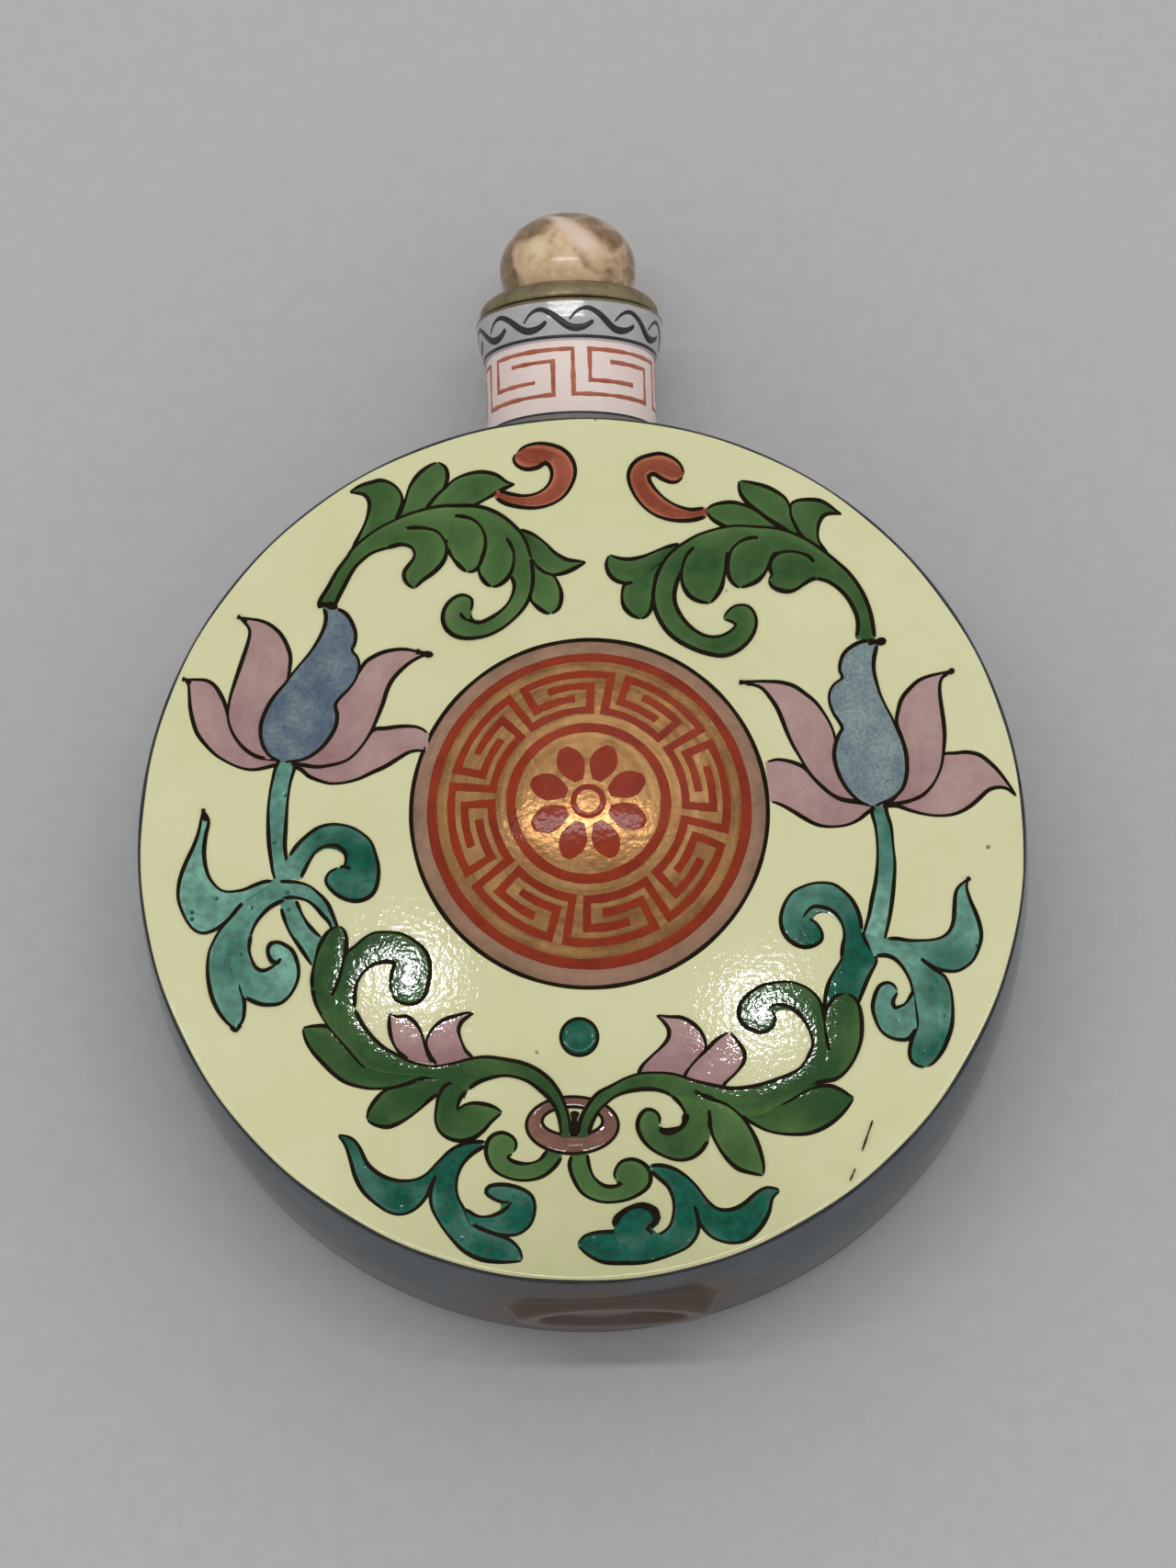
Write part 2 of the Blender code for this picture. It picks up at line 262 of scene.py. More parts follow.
def piece(name, sheets, material, body, sharp=None, thickness=0.0, lining=None):
    """One object from its sheets: points, faces, UVs and shades end to end, in metres, riding on a body."""
    start = np.concatenate([[0], np.cumsum([len(s["co"]) for s in sheets])])
    co = np.vstack([s["co"] for s in sheets]) * MM
    quads = np.vstack([s["quads"] + o for s, o in zip(sheets, start)])
    tris = np.vstack([s["tris"] + o for s, o in zip(sheets, start)])
    corners = np.concatenate([quads.ravel(), tris.ravel()]).astype(np.int32)
    uv = np.vstack([s[kind].reshape(-1, 2) for kind in ("quad_uv", "tri_uv") for s in sheets])
    sizes = np.concatenate([np.full(len(quads), 4), np.full(len(tris), 3)]).astype(np.int32)
    mesh = bpy.data.meshes.new(name)
    mesh.vertices.add(len(co))
    mesh.vertices.foreach_set("co", co.astype(np.float32).ravel())
    mesh.loops.add(len(corners))
    mesh.loops.foreach_set("vertex_index", corners)
    mesh.polygons.add(len(sizes))
    mesh.polygons.foreach_set("loop_start", np.concatenate([[0], np.cumsum(sizes)[:-1]]).astype(np.int32))
    mesh.polygons.foreach_set("use_smooth", np.ones(len(sizes), bool))
    mesh.uv_layers.new(name="UVMap").data.foreach_set("uv", uv.astype(np.float32).ravel())
    shade = np.concatenate([s["shade"] for s in sheets])
    mesh.attributes.new("shade", "FLOAT", "POINT").data.foreach_set("value", shade.astype(np.float32))
    mesh.update(calc_edges=True)
    if sharp is not None:
        mesh.set_sharp_from_angle(angle=math.radians(sharp))
    if thickness:
        used = np.zeros(len(corners), np.int32)
        mesh.loops.foreach_get("edge_index", used)
        alone = np.bincount(used, minlength=len(mesh.edges)) == 1
        mesh.attributes.new("sharp_edge", "BOOLEAN", "EDGE").data.foreach_set("value", alone)
    mesh.materials.append(material)
    item = bpy.data.objects.new(name, mesh)
    bpy.context.scene.collection.objects.link(item)
    if thickness:
        wall = item.modifiers.new("wall", "SOLIDIFY")
        wall.thickness = thickness * MM
        wall.offset = -1
        if lining is not None:
            mesh.materials.append(lining)
            wall.material_offset = 1
            wall.material_offset_rim = 1
    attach(item, body)
    return item


def upward(flat):
    """True where a grid of face points runs anticlockwise, from the sum of its quads' turns."""
    along = flat[1:, :-1] - flat[:-1, :-1]
    across = flat[:-1, 1:] - flat[:-1, :-1]
    return np.sum(along[..., 0] * across[..., 1] - along[..., 1] * across[..., 0]) > 0


def ribbon(path, half_width, place, lift, crown=LINE_CROWN, closed=False):
    """A painted line: the path carried sideways along its mitred normals, with a crown and sunk edges.

    Where the half width falls to nothing, the whole row sinks to one point and closes the end.
    """
    half_width = np.broadcast_to(np.asarray(half_width, float), len(path))
    if closed:
        step = np.roll(path, -1, axis=0) - path
        ahead = step / np.linalg.norm(step, axis=1)[:, None]
        before = np.roll(ahead, 1, axis=0)
    else:
        step = np.diff(path, axis=0)
        unit = step / np.maximum(np.linalg.norm(step, axis=1), NO_LENGTH)[:, None]
        ahead = np.vstack([unit, unit[-1:]])
        before = np.vstack([unit[:1], unit])
    bend = np.maximum(1 + np.sum(ahead * before, axis=1), MITRE_LIMIT)
    mean = (ahead + before) / bend[:, None]
    normal = np.stack([-mean[:, 1], mean[:, 0]], -1)
    tall = np.array([-SINK, lift, lift + crown, lift, -SINK])
    flat = path[:, None] + normal[:, None] * (half_width[:, None] * LINE_ACROSS)[..., None]
    height = np.where(half_width[:, None] > 0, tall, -SINK)
    return sheet(place(flat, height), wrap=(closed, False))


# A brush stroke: its width where it sets down, the share of it that widens, and its slow swell.
BRUSH_BLUNT = 0.35
BRUSH_END = 0.12
SWELL_MEAN = 0.95
SWELL_SWING = 0.24
SWELL_WAVES = 1.5
SWELL_START = 0.2


def taper(count, ends=BRUSH_END):
    """Widths of a brush stroke: a square root's rise over the first part, a slow sine, and the same fall."""
    t = np.linspace(0, 1, count)
    rise = np.clip(np.minimum(t, 1 - t) / ends, 0, 1)
    swell = SWELL_MEAN + SWELL_SWING * np.sin(2 * math.pi * (SWELL_WAVES * t + SWELL_START))
    width = (BRUSH_BLUNT + (1 - BRUSH_BLUNT) * np.sqrt(rise)) * swell
    width[[0, -1]] = 0
    return width


# Fills: the fewest rungs of a lobe, the step along a brush line and the length of its tip, the gap at which
# two sides count as met, and the shares across a lobe and outwards in a round fill.
LOBE_LENGTHS = 40
BRUSH_STEP = 0.2
BRUSH_TIP = 0.5
POINTED = 1e-3
LOBE_ACROSS = np.array([0.0, 0.0, 0.1, 0.3, 0.5, 0.7, 0.9, 1.0, 1.0])
BLOB_REACH = np.array([0.0, 0.35, 0.7, 0.93, 1.0])


def lobe(side_a, side_b, place, lift, shade):
    """An enamel fill between two sides: straight rungs from curve to curve, crowned, with upright edges.

    An end where the sides stay apart gets a second, sunk rung; an end where they meet sinks to its point.
    The shade is one depth of colour, or several from the root to the tip, blended along the rungs.
    """
    flat = side_a[:, None] * (1 - LOBE_ACROSS)[:, None] + side_b[:, None] * LOBE_ACROSS[:, None]
    apart = np.linalg.norm(side_a - side_b, axis=1) > POINTED
    rungs = np.arange(len(flat))
    rungs = np.concatenate([rungs[:1][apart[:1]], rungs, rungs[-1:][apart[-1:]]])
    flat = flat[rungs]
    height = np.tile(lift + CROWN * 4 * LOBE_ACROSS * (1 - LOBE_ACROSS), (len(flat), 1))
    height[:, [0, -1]] = -SINK
    height[[0, -1]] = -SINK
    along = rungs / rungs.max()
    uv = np.stack(np.broadcast_arrays(along[:, None], LOBE_ACROSS), -1)
    tone = np.interp(along, np.linspace(0, 1, np.size(shade)), np.ravel(shade))
    return sheet(place(flat, height), uv, flip=not upward(flat), shade=tone[:, None])


def blob(centre, radii, place, lift, shade, count=48):
    """A round fill: rings of an ellipse from its middle to its sunk edge, crowned like a drop."""
    circle = np.asarray(radii) * rays(count)
    flat = np.asarray(centre) + circle[:, None] * BLOB_REACH[:, None]
    height = np.tile(lift + CROWN * 2 * (1 - BLOB_REACH**2), (count, 1))
    height[:, -1] = -SINK
    return sheet(place(flat, height), wrap=(True, False), flip=True, shade=shade)


def turned(profile, segments=192, closed=False):
    """A turned form: the profile's radius carried round the neck axis, its height kept."""
    radius, height = profile.T
    ray = rays(segments)[:, None]
    grid = np.stack([radius * ray[..., 1], np.broadcast_to(height, (segments, len(profile))),
                     AXIS_Z + radius * ray[..., 0]], -1)
    return sheet(grid, wrap=(True, closed))


ARM_SHARE = 0.45


def rounded(corners, radius, steps=6):
    """A profile with its inner corners rounded, each by a short parabola between two points on its arms."""
    out = [corners[:1]]
    t = np.linspace(0, 1, steps)[:, None]
    for before, corner, after in zip(corners[:-2], corners[1:-1], corners[2:]):
        arm_a = before - corner
        arm_b = after - corner
        cut = min(radius, ARM_SHARE * np.linalg.norm(arm_a), ARM_SHARE * np.linalg.norm(arm_b))
        p = corner + arm_a / np.linalg.norm(arm_a) * cut
        q = corner + arm_b / np.linalg.norm(arm_b) * cut
        out.append((1 - t)**2 * p + 2 * t * (1 - t) * corner + t**2 * q)
    return np.vstack(out + [corners[-1:]])


# Finishes. Small helpers first, each of which adds nodes to a tree.
VECTOR = "NodeSocketVector"
COLOUR = "NodeSocketColor"
VALUE = "NodeSocketFloat"


def colour(red, green, blue):
    """A display colour, 0 to 255, as the linear colour a shader takes."""
    value = np.array([red, green, blue]) / 255
    linear = np.where(value <= 0.04045, value / 12.92, ((value + 0.055) / 1.055)**2.4)
    return (*linear.tolist(), 1.0)


def put(tree, kind, values=None, **settings):
    """A node with its settings, and each input either given a value or linked to a socket."""
    node = tree.nodes.new(kind)
    for key, value in settings.items():
        setattr(node, key, value)
    for key, value in (values or {}).items():
        if isinstance(value, bpy.types.NodeSocket):
            tree.links.new(value, node.inputs[key])
        else:
            node.inputs[key].default_value = value
    return node


def sum_of(tree, *terms, operation="ADD"):
    """A chain of Math nodes over the terms."""
    total = terms[0]
    for term in terms[1:]:
        total = put(tree, "ShaderNodeMath", {0: total, 1: term}, operation=operation).outputs[0]
    return total


def product_of(tree, *terms):
    """The terms multiplied together."""
    return sum_of(tree, *terms, operation="MULTIPLY")


def remap(tree, value, low, high, new_low=0.0, new_high=1.0):
    """A clamped Map Range."""
    return put(tree, "ShaderNodeMapRange", {"Value": value, "From Min": low, "From Max": high,
                                            "To Min": new_low, "To Max": new_high}).outputs[0]


def blended(tree, factor, first, second):
    """A colour Mix node."""
    return put(tree, "ShaderNodeMix", {0: factor, 6: first, 7: second}, data_type="RGBA").outputs[2]


def noise(tree, place, scale, detail, **more):
    """The value of a noise pattern at a place."""
    values = {"Vector": place, "Scale": scale, "Detail": detail, **more}
    return put(tree, "ShaderNodeTexNoise", values).outputs[0]


def distance_to(tree, place, spot):
    """How far a place is from a spot that is given in millimetres."""
    values = {0: place, 1: tuple(MM * v for v in spot)}
    return put(tree, "ShaderNodeVectorMath", values, operation="DISTANCE").outputs["Value"]


def blank(name):
    """A new material, its emptied node tree and the coordinates of its places."""
    material = bpy.data.materials.new(name)
    material.use_nodes = True
    tree = material.node_tree
    tree.nodes.clear()
    return material, tree, put(tree, "ShaderNodeTexCoord").outputs


def group(name, inputs, outputs):
    """An empty node group with named sockets, and its two end nodes."""
    tree = bpy.data.node_groups.new(name, "ShaderNodeTree")
    for label, kind, value in inputs:
        socket = tree.interface.new_socket(label, in_out="INPUT", socket_type=kind)
        if value is not None:
            socket.default_value = value
    for label, kind in outputs:
        tree.interface.new_socket(label, in_out="OUTPUT", socket_type=kind)
    return tree, tree.nodes.new("NodeGroupInput").outputs, tree.nodes.new("NodeGroupOutput").inputs


# Enamel noise: its grain and relief, how much finer the fine noise is, and the two shares of the clouds.
GRAIN_SCALE = 2900.0
RELIEF = 0.04
FINE_RATIO = 6.5
BROAD_SHARE = 0.72
FINE_SHARE = 0.28
# A speck's solid core, as a share of its size.
SPECK_CORE = 0.55
# Brush loading: where pooling starts, the streaks' stretch and scale, and how far the root's load reaches.
POOL_START = 0.22
HAIR_STRETCH = (1.3, 9.0, 1.0)
HAIR_SCALE = 2.2
ROOT_REACH = 0.55
# The ragged edge of a stain or of painted shade: the noise's scale and its swing in millimetres.
STAIN_OR_SHADE_SCALE = 300.0
STAIN_OR_SHADE_RAGGED = 2.5


def fired_tone():
    """Group: two enamel tones clouded by noise and mottled light and dark, with a gloss and a fine grain."""
    tree, given, result = group(
        "fired_tone",
        [("Place", VECTOR, None), ("Light", COLOUR, None), ("Dark", COLOUR, None), ("Scale", VALUE, 300.0),
         ("Contrast", VALUE, 1.0), ("Bias", VALUE, 0.0), ("Mottle", VALUE, 0.0), ("Roughness", VALUE, 0.25)],
        [("Colour", COLOUR), ("Roughness", VALUE), ("Height", VALUE)])
    broad = noise(tree, given["Place"], given["Scale"], 3.0, Roughness=0.55)
    fine = noise(tree, given["Place"], product_of(tree, given["Scale"], FINE_RATIO), 2.0)
    cloud = sum_of(tree, product_of(tree, broad, BROAD_SHARE), product_of(tree, fine, FINE_SHARE))
    centred = product_of(tree, sum_of(tree, cloud, 0.5, operation="SUBTRACT"), given["Contrast"])
    amount = put(tree, "ShaderNodeMath", {0: sum_of(tree, centred, 0.5, given["Bias"]), 1: 0.0},
                 operation="ADD", use_clamp=True)
    swing = product_of(tree, remap(tree, fine, 0.36, 0.64, -1.0, 1.0), given["Mottle"])
    mixed = blended(tree, amount.outputs[0], given["Light"], given["Dark"])
    mottled = put(tree, "ShaderNodeVectorMath", {0: mixed, "Scale": sum_of(tree, swing, 1.0)},
                  operation="SCALE")
    tree.links.new(mottled.outputs[0], result["Colour"])
    spread = remap(tree, broad, 0.3, 0.7, 0.8, 1.25)
    tree.links.new(product_of(tree, given["Roughness"], spread), result["Roughness"])
    tree.links.new(noise(tree, given["Place"], GRAIN_SCALE, 2.0), result["Height"])
    return tree


def kiln_specks():
    """Group: sparse round specks, one in some cells of a Voronoi pattern, as colour and as small pits."""
    tree, given, result = group(
        "kiln_specks",
        [("Place", VECTOR, None), ("Colour", COLOUR, None), ("Speck", COLOUR, None), ("Scale", VALUE, 900.0),
         ("Share", VALUE, 0.1), ("Size", VALUE, 0.2)],
        [("Colour", COLOUR), ("Mask", VALUE)])
    cell = put(tree, "ShaderNodeTexVoronoi", {"Vector": given["Place"], "Scale": given["Scale"]})
    pick = put(tree, "ShaderNodeSeparateColor", {0: cell.outputs["Color"]})
    chosen = sum_of(tree, pick.outputs[0], given["Share"], operation="LESS_THAN")
    core = product_of(tree, given["Size"], SPECK_CORE)
    disc = remap(tree, cell.outputs["Distance"], core, given["Size"], 1.0, 0.0)
    mask = product_of(tree, chosen, disc)
    tree.links.new(blended(tree, mask, given["Colour"], given["Speck"]), result["Colour"])
    tree.links.new(mask, result["Mask"])
    return tree


def brush_load():
    """Group: the load of a brushed fill, from its UVs: pooled along the edges and streaked lengthwise."""
    tree, given, result = group(
        "brush_load",
        [("UV", VECTOR, None), ("Edge", VALUE, 0.3), ("Streak", VALUE, 0.3), ("Base", VALUE, 0.2)],
        [("Load", VALUE)])
    parts = put(tree, "ShaderNodeSeparateXYZ", {0: given["UV"]})
    middle = sum_of(tree, parts.outputs[1], 0.5, operation="SUBTRACT")
    away = put(tree, "ShaderNodeMath", {0: middle}, operation="ABSOLUTE")
    pool = product_of(tree, remap(tree, away.outputs[0], POOL_START, 0.5), given["Edge"])
    stretch = put(tree, "ShaderNodeVectorMath", {0: given["UV"], 1: HAIR_STRETCH}, operation="MULTIPLY")
    hair = noise(tree, stretch.outputs[0], HAIR_SCALE, 3.0)
    streak = product_of(tree, remap(tree, hair, 0.35, 0.65, -0.5, 0.5), given["Streak"])
    root = product_of(tree, remap(tree, parts.outputs[0], 0.0, ROOT_REACH, 1.0, 0.0), given["Base"])
    tree.links.new(sum_of(tree, pool, streak, root), result["Load"])
    return tree


TONE = fired_tone()
SPECKS = kiln_specks()
LOAD = brush_load()


def enamel(name, light, dark, scale=250.0, contrast=1.4, bias=0.0, roughness=0.03, specular=0.25, bump=0.06,
           speck=None, share=0.05, speck_scale=900.0, speck_size=0.2, brushed=None, shade=0.0, metallic=0.0,
           stain_or_shade=None, mottle=0.0):
    """A fired finish of two clouded tones, with a gloss and a fine grain.

    brushed is the loading's edge, streak and root, and shade how far each fill's own depth moves the tone.
    speck is the colour of kiln specks, and stain_or_shade a colour, its spot and the two distances between
    which it fades: it lays the foot's real red-brown stain, and the painted shade at the lemon ground's
    bottom edge.
    """
    material, tree, place = blank(name)
    tone = put(tree, "ShaderNodeGroup", {
        "Place": place["Object"], "Light": colour(*light), "Dark": colour(*dark), "Scale": scale,
        "Contrast": contrast, "Bias": bias, "Mottle": mottle, "Roughness": roughness}, node_tree=TONE)
    terms = []
    if brushed is not None:
        edge, streak, root = brushed
        values = {"UV": place["UV"], "Edge": edge, "Streak": streak, "Base": root}
        load = put(tree, "ShaderNodeGroup", values, node_tree=LOAD)
        terms.append(load.outputs["Load"])
    if shade:
        own = put(tree, "ShaderNodeAttribute", attribute_name="shade")
        terms.append(remap(tree, own.outputs["Fac"], 0.0, 1.0, -shade, shade))
    if terms:
        tree.links.new(sum_of(tree, *terms, bias), tone.inputs["Bias"])
    shown = tone.outputs["Colour"]
    height = tone.outputs["Height"]
    if speck is not None:
        dots = put(tree, "ShaderNodeGroup", {
            "Place": place["Object"], "Colour": shown, "Speck": colour(*speck), "Scale": speck_scale,
            "Share": share, "Size": speck_size}, node_tree=SPECKS)
        shown = dots.outputs["Colour"]
        height = sum_of(tree, height, dots.outputs["Mask"], operation="SUBTRACT")
    # A colour faded in round a spot with a ragged edge; it serves both a real stain and painted shade.
    if stain_or_shade is not None:
        tint, spot, near, far = stain_or_shade
        cloud = noise(tree, place["Object"], STAIN_OR_SHADE_SCALE, 4.0)
        wander = remap(tree, cloud, 0.25, 0.75, -STAIN_OR_SHADE_RAGGED * MM, STAIN_OR_SHADE_RAGGED * MM)
        ragged = sum_of(tree, distance_to(tree, place["Object"], spot), wander)
        shown = blended(tree, remap(tree, ragged, near * MM, far * MM, 1.0, 0.0), shown, colour(*tint))
    relief = put(tree, "ShaderNodeBump", {"Height": height, "Strength": bump, "Distance": RELIEF * MM})
    shader = put(tree, "ShaderNodeBsdfPrincipled", {
        "Base Color": shown, "Roughness": tone.outputs["Roughness"], "Normal": relief.outputs[0],
        "Specular IOR Level": specular, "Metallic": metallic})
    put(tree, "ShaderNodeOutputMaterial", {0: shader.outputs[0]})
    return material


# The lemon ground's fade towards the bottom edge of the front is painted shade: it darkens there as the
# light falls off.
LEMON = enamel("lemon_enamel", (234, 232, 186), (218, 215, 162), scale=110, contrast=1.3,
               speck=(150, 130, 80), share=0.05, speck_scale=700, speck_size=0.12,
               stain_or_shade=((200, 199, 149), (0.0, -29.0, FLASK_DEPTH), 5.0, 19.0))
FOOT_STAIN = ((98, 85, 77), (FOOT_X, -25.4, 6.5), 6.0, 11.0)
WALL_BLUE = enamel("blue_grey_enamel", (100, 107, 111), (74, 81, 85), scale=260, contrast=1.8, roughness=0.1,
                   specular=0.02, stain_or_shade=FOOT_STAIN)
FOOT_GLAZE = enamel("foot_glaze", (104, 107, 108), (86, 89, 90), scale=260, contrast=1.8, roughness=0.1,
                    specular=0.05, stain_or_shade=FOOT_STAIN)
LEAF = enamel("leaf_green", (98, 132, 72), (36, 76, 28), scale=240, contrast=2.2, brushed=(-0.25, 0.1, 0.12),
              shade=0.5, specular=0.2, mottle=0.12)
TEAL = enamel("teal_enamel", (122, 172, 152), (0, 84, 65), scale=300, contrast=2.4,
              brushed=(-0.1, 0.12, 0.0), shade=0.72, specular=0.16, mottle=0.28, speck=(28, 92, 80),
              share=0.2, speck_scale=1500, speck_size=0.26)
PETAL = enamel("petal_pink", (192, 160, 151), (154, 114, 116), scale=420, contrast=1.6,
               brushed=(0.1, 0.15, 0.5), bias=-0.12, shade=0.1)
BUD = enamel("bud_blue", (138, 155, 152), (80, 97, 116), scale=720, contrast=2.0, brushed=(0.1, 0.1, 0.0),
             shade=0.5, mottle=0.24, speck=(74, 92, 114), share=0.12, speck_scale=1500, speck_size=0.24)
CURL = enamel("curl_red", (196, 116, 82), (134, 54, 28), scale=420, contrast=1.3, brushed=(-0.9, 0.25, 0.1),
              bias=0.3)
INK = enamel("ink_line", (46, 40, 28), (22, 19, 13), scale=600, contrast=1.6, roughness=0.4, specular=0.0)
RING = enamel("ring_brown", (148, 106, 90), (86, 50, 40), scale=420, contrast=1.8, brushed=(0.7, 0.4, 0.0))
BOSS_GROUND = enamel("boss_pink", (200, 158, 128), (140, 104, 78), scale=300, contrast=1.6, roughness=0.14,
                     bump=0.3, specular=0.6, brushed=(0.5, 0.1, 0.0), bias=-0.15)
BOSS_RED = enamel("boss_red", (168, 58, 16), (122, 30, 4), scale=500, contrast=1.8, roughness=0.14,
                  specular=0.28, bump=0.4)
BOSS_GOLD = enamel("boss_gilt", (206, 158, 102), (148, 103, 62), scale=600, contrast=2.0, roughness=0.22,
                   metallic=0.7, bump=0.7, brushed=(0.2, 0.6, 0.0))
NECK_WHITE = enamel("white_porcelain", (255, 240, 232), (248, 220, 210), scale=260, contrast=1.4)
FRET_RED = enamel("fret_red", (206, 126, 98), (160, 78, 52), scale=700, contrast=2.4)
LIP_GREY = enamel("lip_white", (204, 202, 200), (166, 165, 165), scale=300, contrast=1.6, roughness=0.13,
                  specular=0.7)
LIP_INK = enamel("lip_ink", (72, 72, 76), (34, 34, 38), scale=600, contrast=1.8, specular=0.2)
ROOT_GREY = enamel("neck_root_grey", (150, 144, 136), (112, 108, 104), scale=420, contrast=1.8)
LIP_GILT = enamel("lip_bronze", (150, 138, 104), (96, 84, 58), scale=520, contrast=2.0, roughness=0.34,
                  metallic=0.6)
CLAY = enamel("bare_clay", (226, 218, 206), (206, 196, 180), scale=300, contrast=1.4, roughness=0.5,
              specular=0.2)
BRASS = enamel("aged_brass", (168, 154, 120), (100, 90, 64), scale=520, contrast=2.2, roughness=0.42,
               metallic=0.7, bump=0.4)
CORK = enamel("cork", (178, 132, 88), (120, 78, 46), scale=700, contrast=2.2, roughness=0.8, specular=0.1,
              bump=1.0, speck=(70, 44, 26), share=0.3, speck_scale=900, speck_size=0.3)
BAMBOO = enamel("bamboo", (214, 180, 124), (176, 138, 86), scale=400, contrast=1.8, roughness=0.4)
# The stone, in millimetres from its belly: brown patches with their reach, a pale spot that is a painted
# highlight, and a pale streak by the direction across it, its offset, its middle, its inner and outer half
# width, its length and its wander.
STONE_PATCHES = (((-1.9, 2.1, 2.4), 1.7), ((1.6, 2.2, 2.2), 1.7), ((2.6, 1.3, 2.4), 1.3),
                 ((3.8, 0.0, 1.4), 1.6), ((-3.7, 0.2, 1.4), 1.5), ((-3.3, -1.2, 2.0), 1.0),
                 ((2.6, -1.2, 2.8), 1.0), ((0.0, 0.5, -3.4), 2.0), ((-2.4, 1.6, -2.4), 1.4),
                 ((2.6, -0.4, -2.6), 1.3))
PATCH_EDGE = (0.52, 0.66)
PATCH_CORE = 0.35
PATCH_RAGGED = 1.2
# A painted highlight: a soft pale spot on the stone's front left, where the light shines on it.
PAINTED_HIGHLIGHT_SPOT = (-1.6, 0.35, 3.6)
PAINTED_HIGHLIGHT_REACH = 0.9
PAINTED_HIGHLIGHT_CORE = 0.3
PAINTED_HIGHLIGHT_STRENGTH = 0.7
STREAK_ACROSS = (0.72, 0.69, 0.08)
STREAK_OFFSET = 1.44
STREAK_MIDDLE = (0.35, 1.4, 3.3)
STREAK_HALF = (0.15, 0.62)
STREAK_LENGTH = (1.4, 2.7)
STREAK_WANDER = 2.0
STREAK_STRENGTH = 0.9
STONE_GROUND = (colour(228, 196, 158), colour(208, 172, 128))
STONE_BROWN = (colour(148, 116, 76), colour(116, 88, 55))
PAINTED_HIGHLIGHT_COLOUR = colour(240, 222, 176)
STREAK_COLOUR = colour(236, 212, 190)
STONE_BROAD = 330.0
STONE_FINE = 1600.0
STONE_GLOSS = (0.22, 0.36)
STONE_RELIEF = 0.2


def stone():
    """Mottled beige stone: brown patches, a pale spot as painted highlight, a pale streak, fine grain and a
    polished coat.
    """
    material, tree, place = blank("beige_stone")
    centre = (0.0, -FINIAL_BELLY * MM, -AXIS_Z * MM)
    spot = put(tree, "ShaderNodeMapping", {"Vector": place["Object"], "Location": centre}).outputs[0]
    broad = noise(tree, spot, STONE_BROAD, 3.0, Distortion=0.6)
    fine = noise(tree, spot, STONE_FINE, 3.0)
    patch = remap(tree, broad, *PATCH_EDGE)
    grain = remap(tree, fine, 0.35, 0.65)
    ragged = remap(tree, broad, 0.25, 0.75, -PATCH_RAGGED * MM, PATCH_RAGGED * MM)
    for middle, reach in STONE_PATCHES:
        gap = sum_of(tree, distance_to(tree, spot, middle), ragged)
        brown = remap(tree, gap, PATCH_CORE * reach * MM, reach * MM, 1.0, 0.0)
        patch = sum_of(tree, patch, brown, operation="MAXIMUM")
    mixed = blended(tree, patch, blended(tree, grain, *STONE_GROUND), blended(tree, grain, *STONE_BROWN))
    # The painted highlight: the pale spot's colour blended in round its middle.
    gap = distance_to(tree, spot, PAINTED_HIGHLIGHT_SPOT)
    pale = remap(tree, gap, PAINTED_HIGHLIGHT_CORE * PAINTED_HIGHLIGHT_REACH * MM, PAINTED_HIGHLIGHT_REACH * MM, PAINTED_HIGHLIGHT_STRENGTH, 0.0)
    mixed = blended(tree, pale, mixed, PAINTED_HIGHLIGHT_COLOUR)
    tilted = put(tree, "ShaderNodeVectorMath", {0: spot, 1: STREAK_ACROSS}, operation="DOT_PRODUCT")
    wander = product_of(tree, sum_of(tree, broad, 0.5, operation="SUBTRACT"), STREAK_WANDER * MM)
    line = sum_of(tree, tilted.outputs["Value"], wander, -STREAK_OFFSET * MM)
    away = put(tree, "ShaderNodeMath", {0: line}, operation="ABSOLUTE")
    streak = remap(tree, away.outputs[0], STREAK_HALF[0] * MM, STREAK_HALF[1] * MM, STREAK_STRENGTH, 0.0)
    gap = distance_to(tree, spot, STREAK_MIDDLE)
    near = remap(tree, gap, STREAK_LENGTH[0] * MM, STREAK_LENGTH[1] * MM, 1.0, 0.0)
    mixed = blended(tree, product_of(tree, streak, near), mixed, STREAK_COLOUR)
    relief = put(tree, "ShaderNodeBump", {"Height": fine, "Strength": 0.05, "Distance": STONE_RELIEF * MM})
    gloss = remap(tree, broad, 0.3, 0.7, *STONE_GLOSS)
    shader = put(tree, "ShaderNodeBsdfPrincipled", {
        "Base Color": mixed, "Roughness": gloss, "Normal": relief.outputs[0], "Coat Weight": 0.4,
        "Coat Roughness": 0.12})
    put(tree, "ShaderNodeOutputMaterial", {0: shader.outputs[0]})
    return material


STONE = stone()

# The lotus scroll. Each lobe is a fill between two sides read from the photograph, in pixels, from its root
# to its tip. The lobes are listed in the order in which they were laid, so later ones cover earlier lines.
# A last word says which sides carry an ink line, where that isn't the whole of both: a or b, or neither,
# with a range of knots where only part is inked.

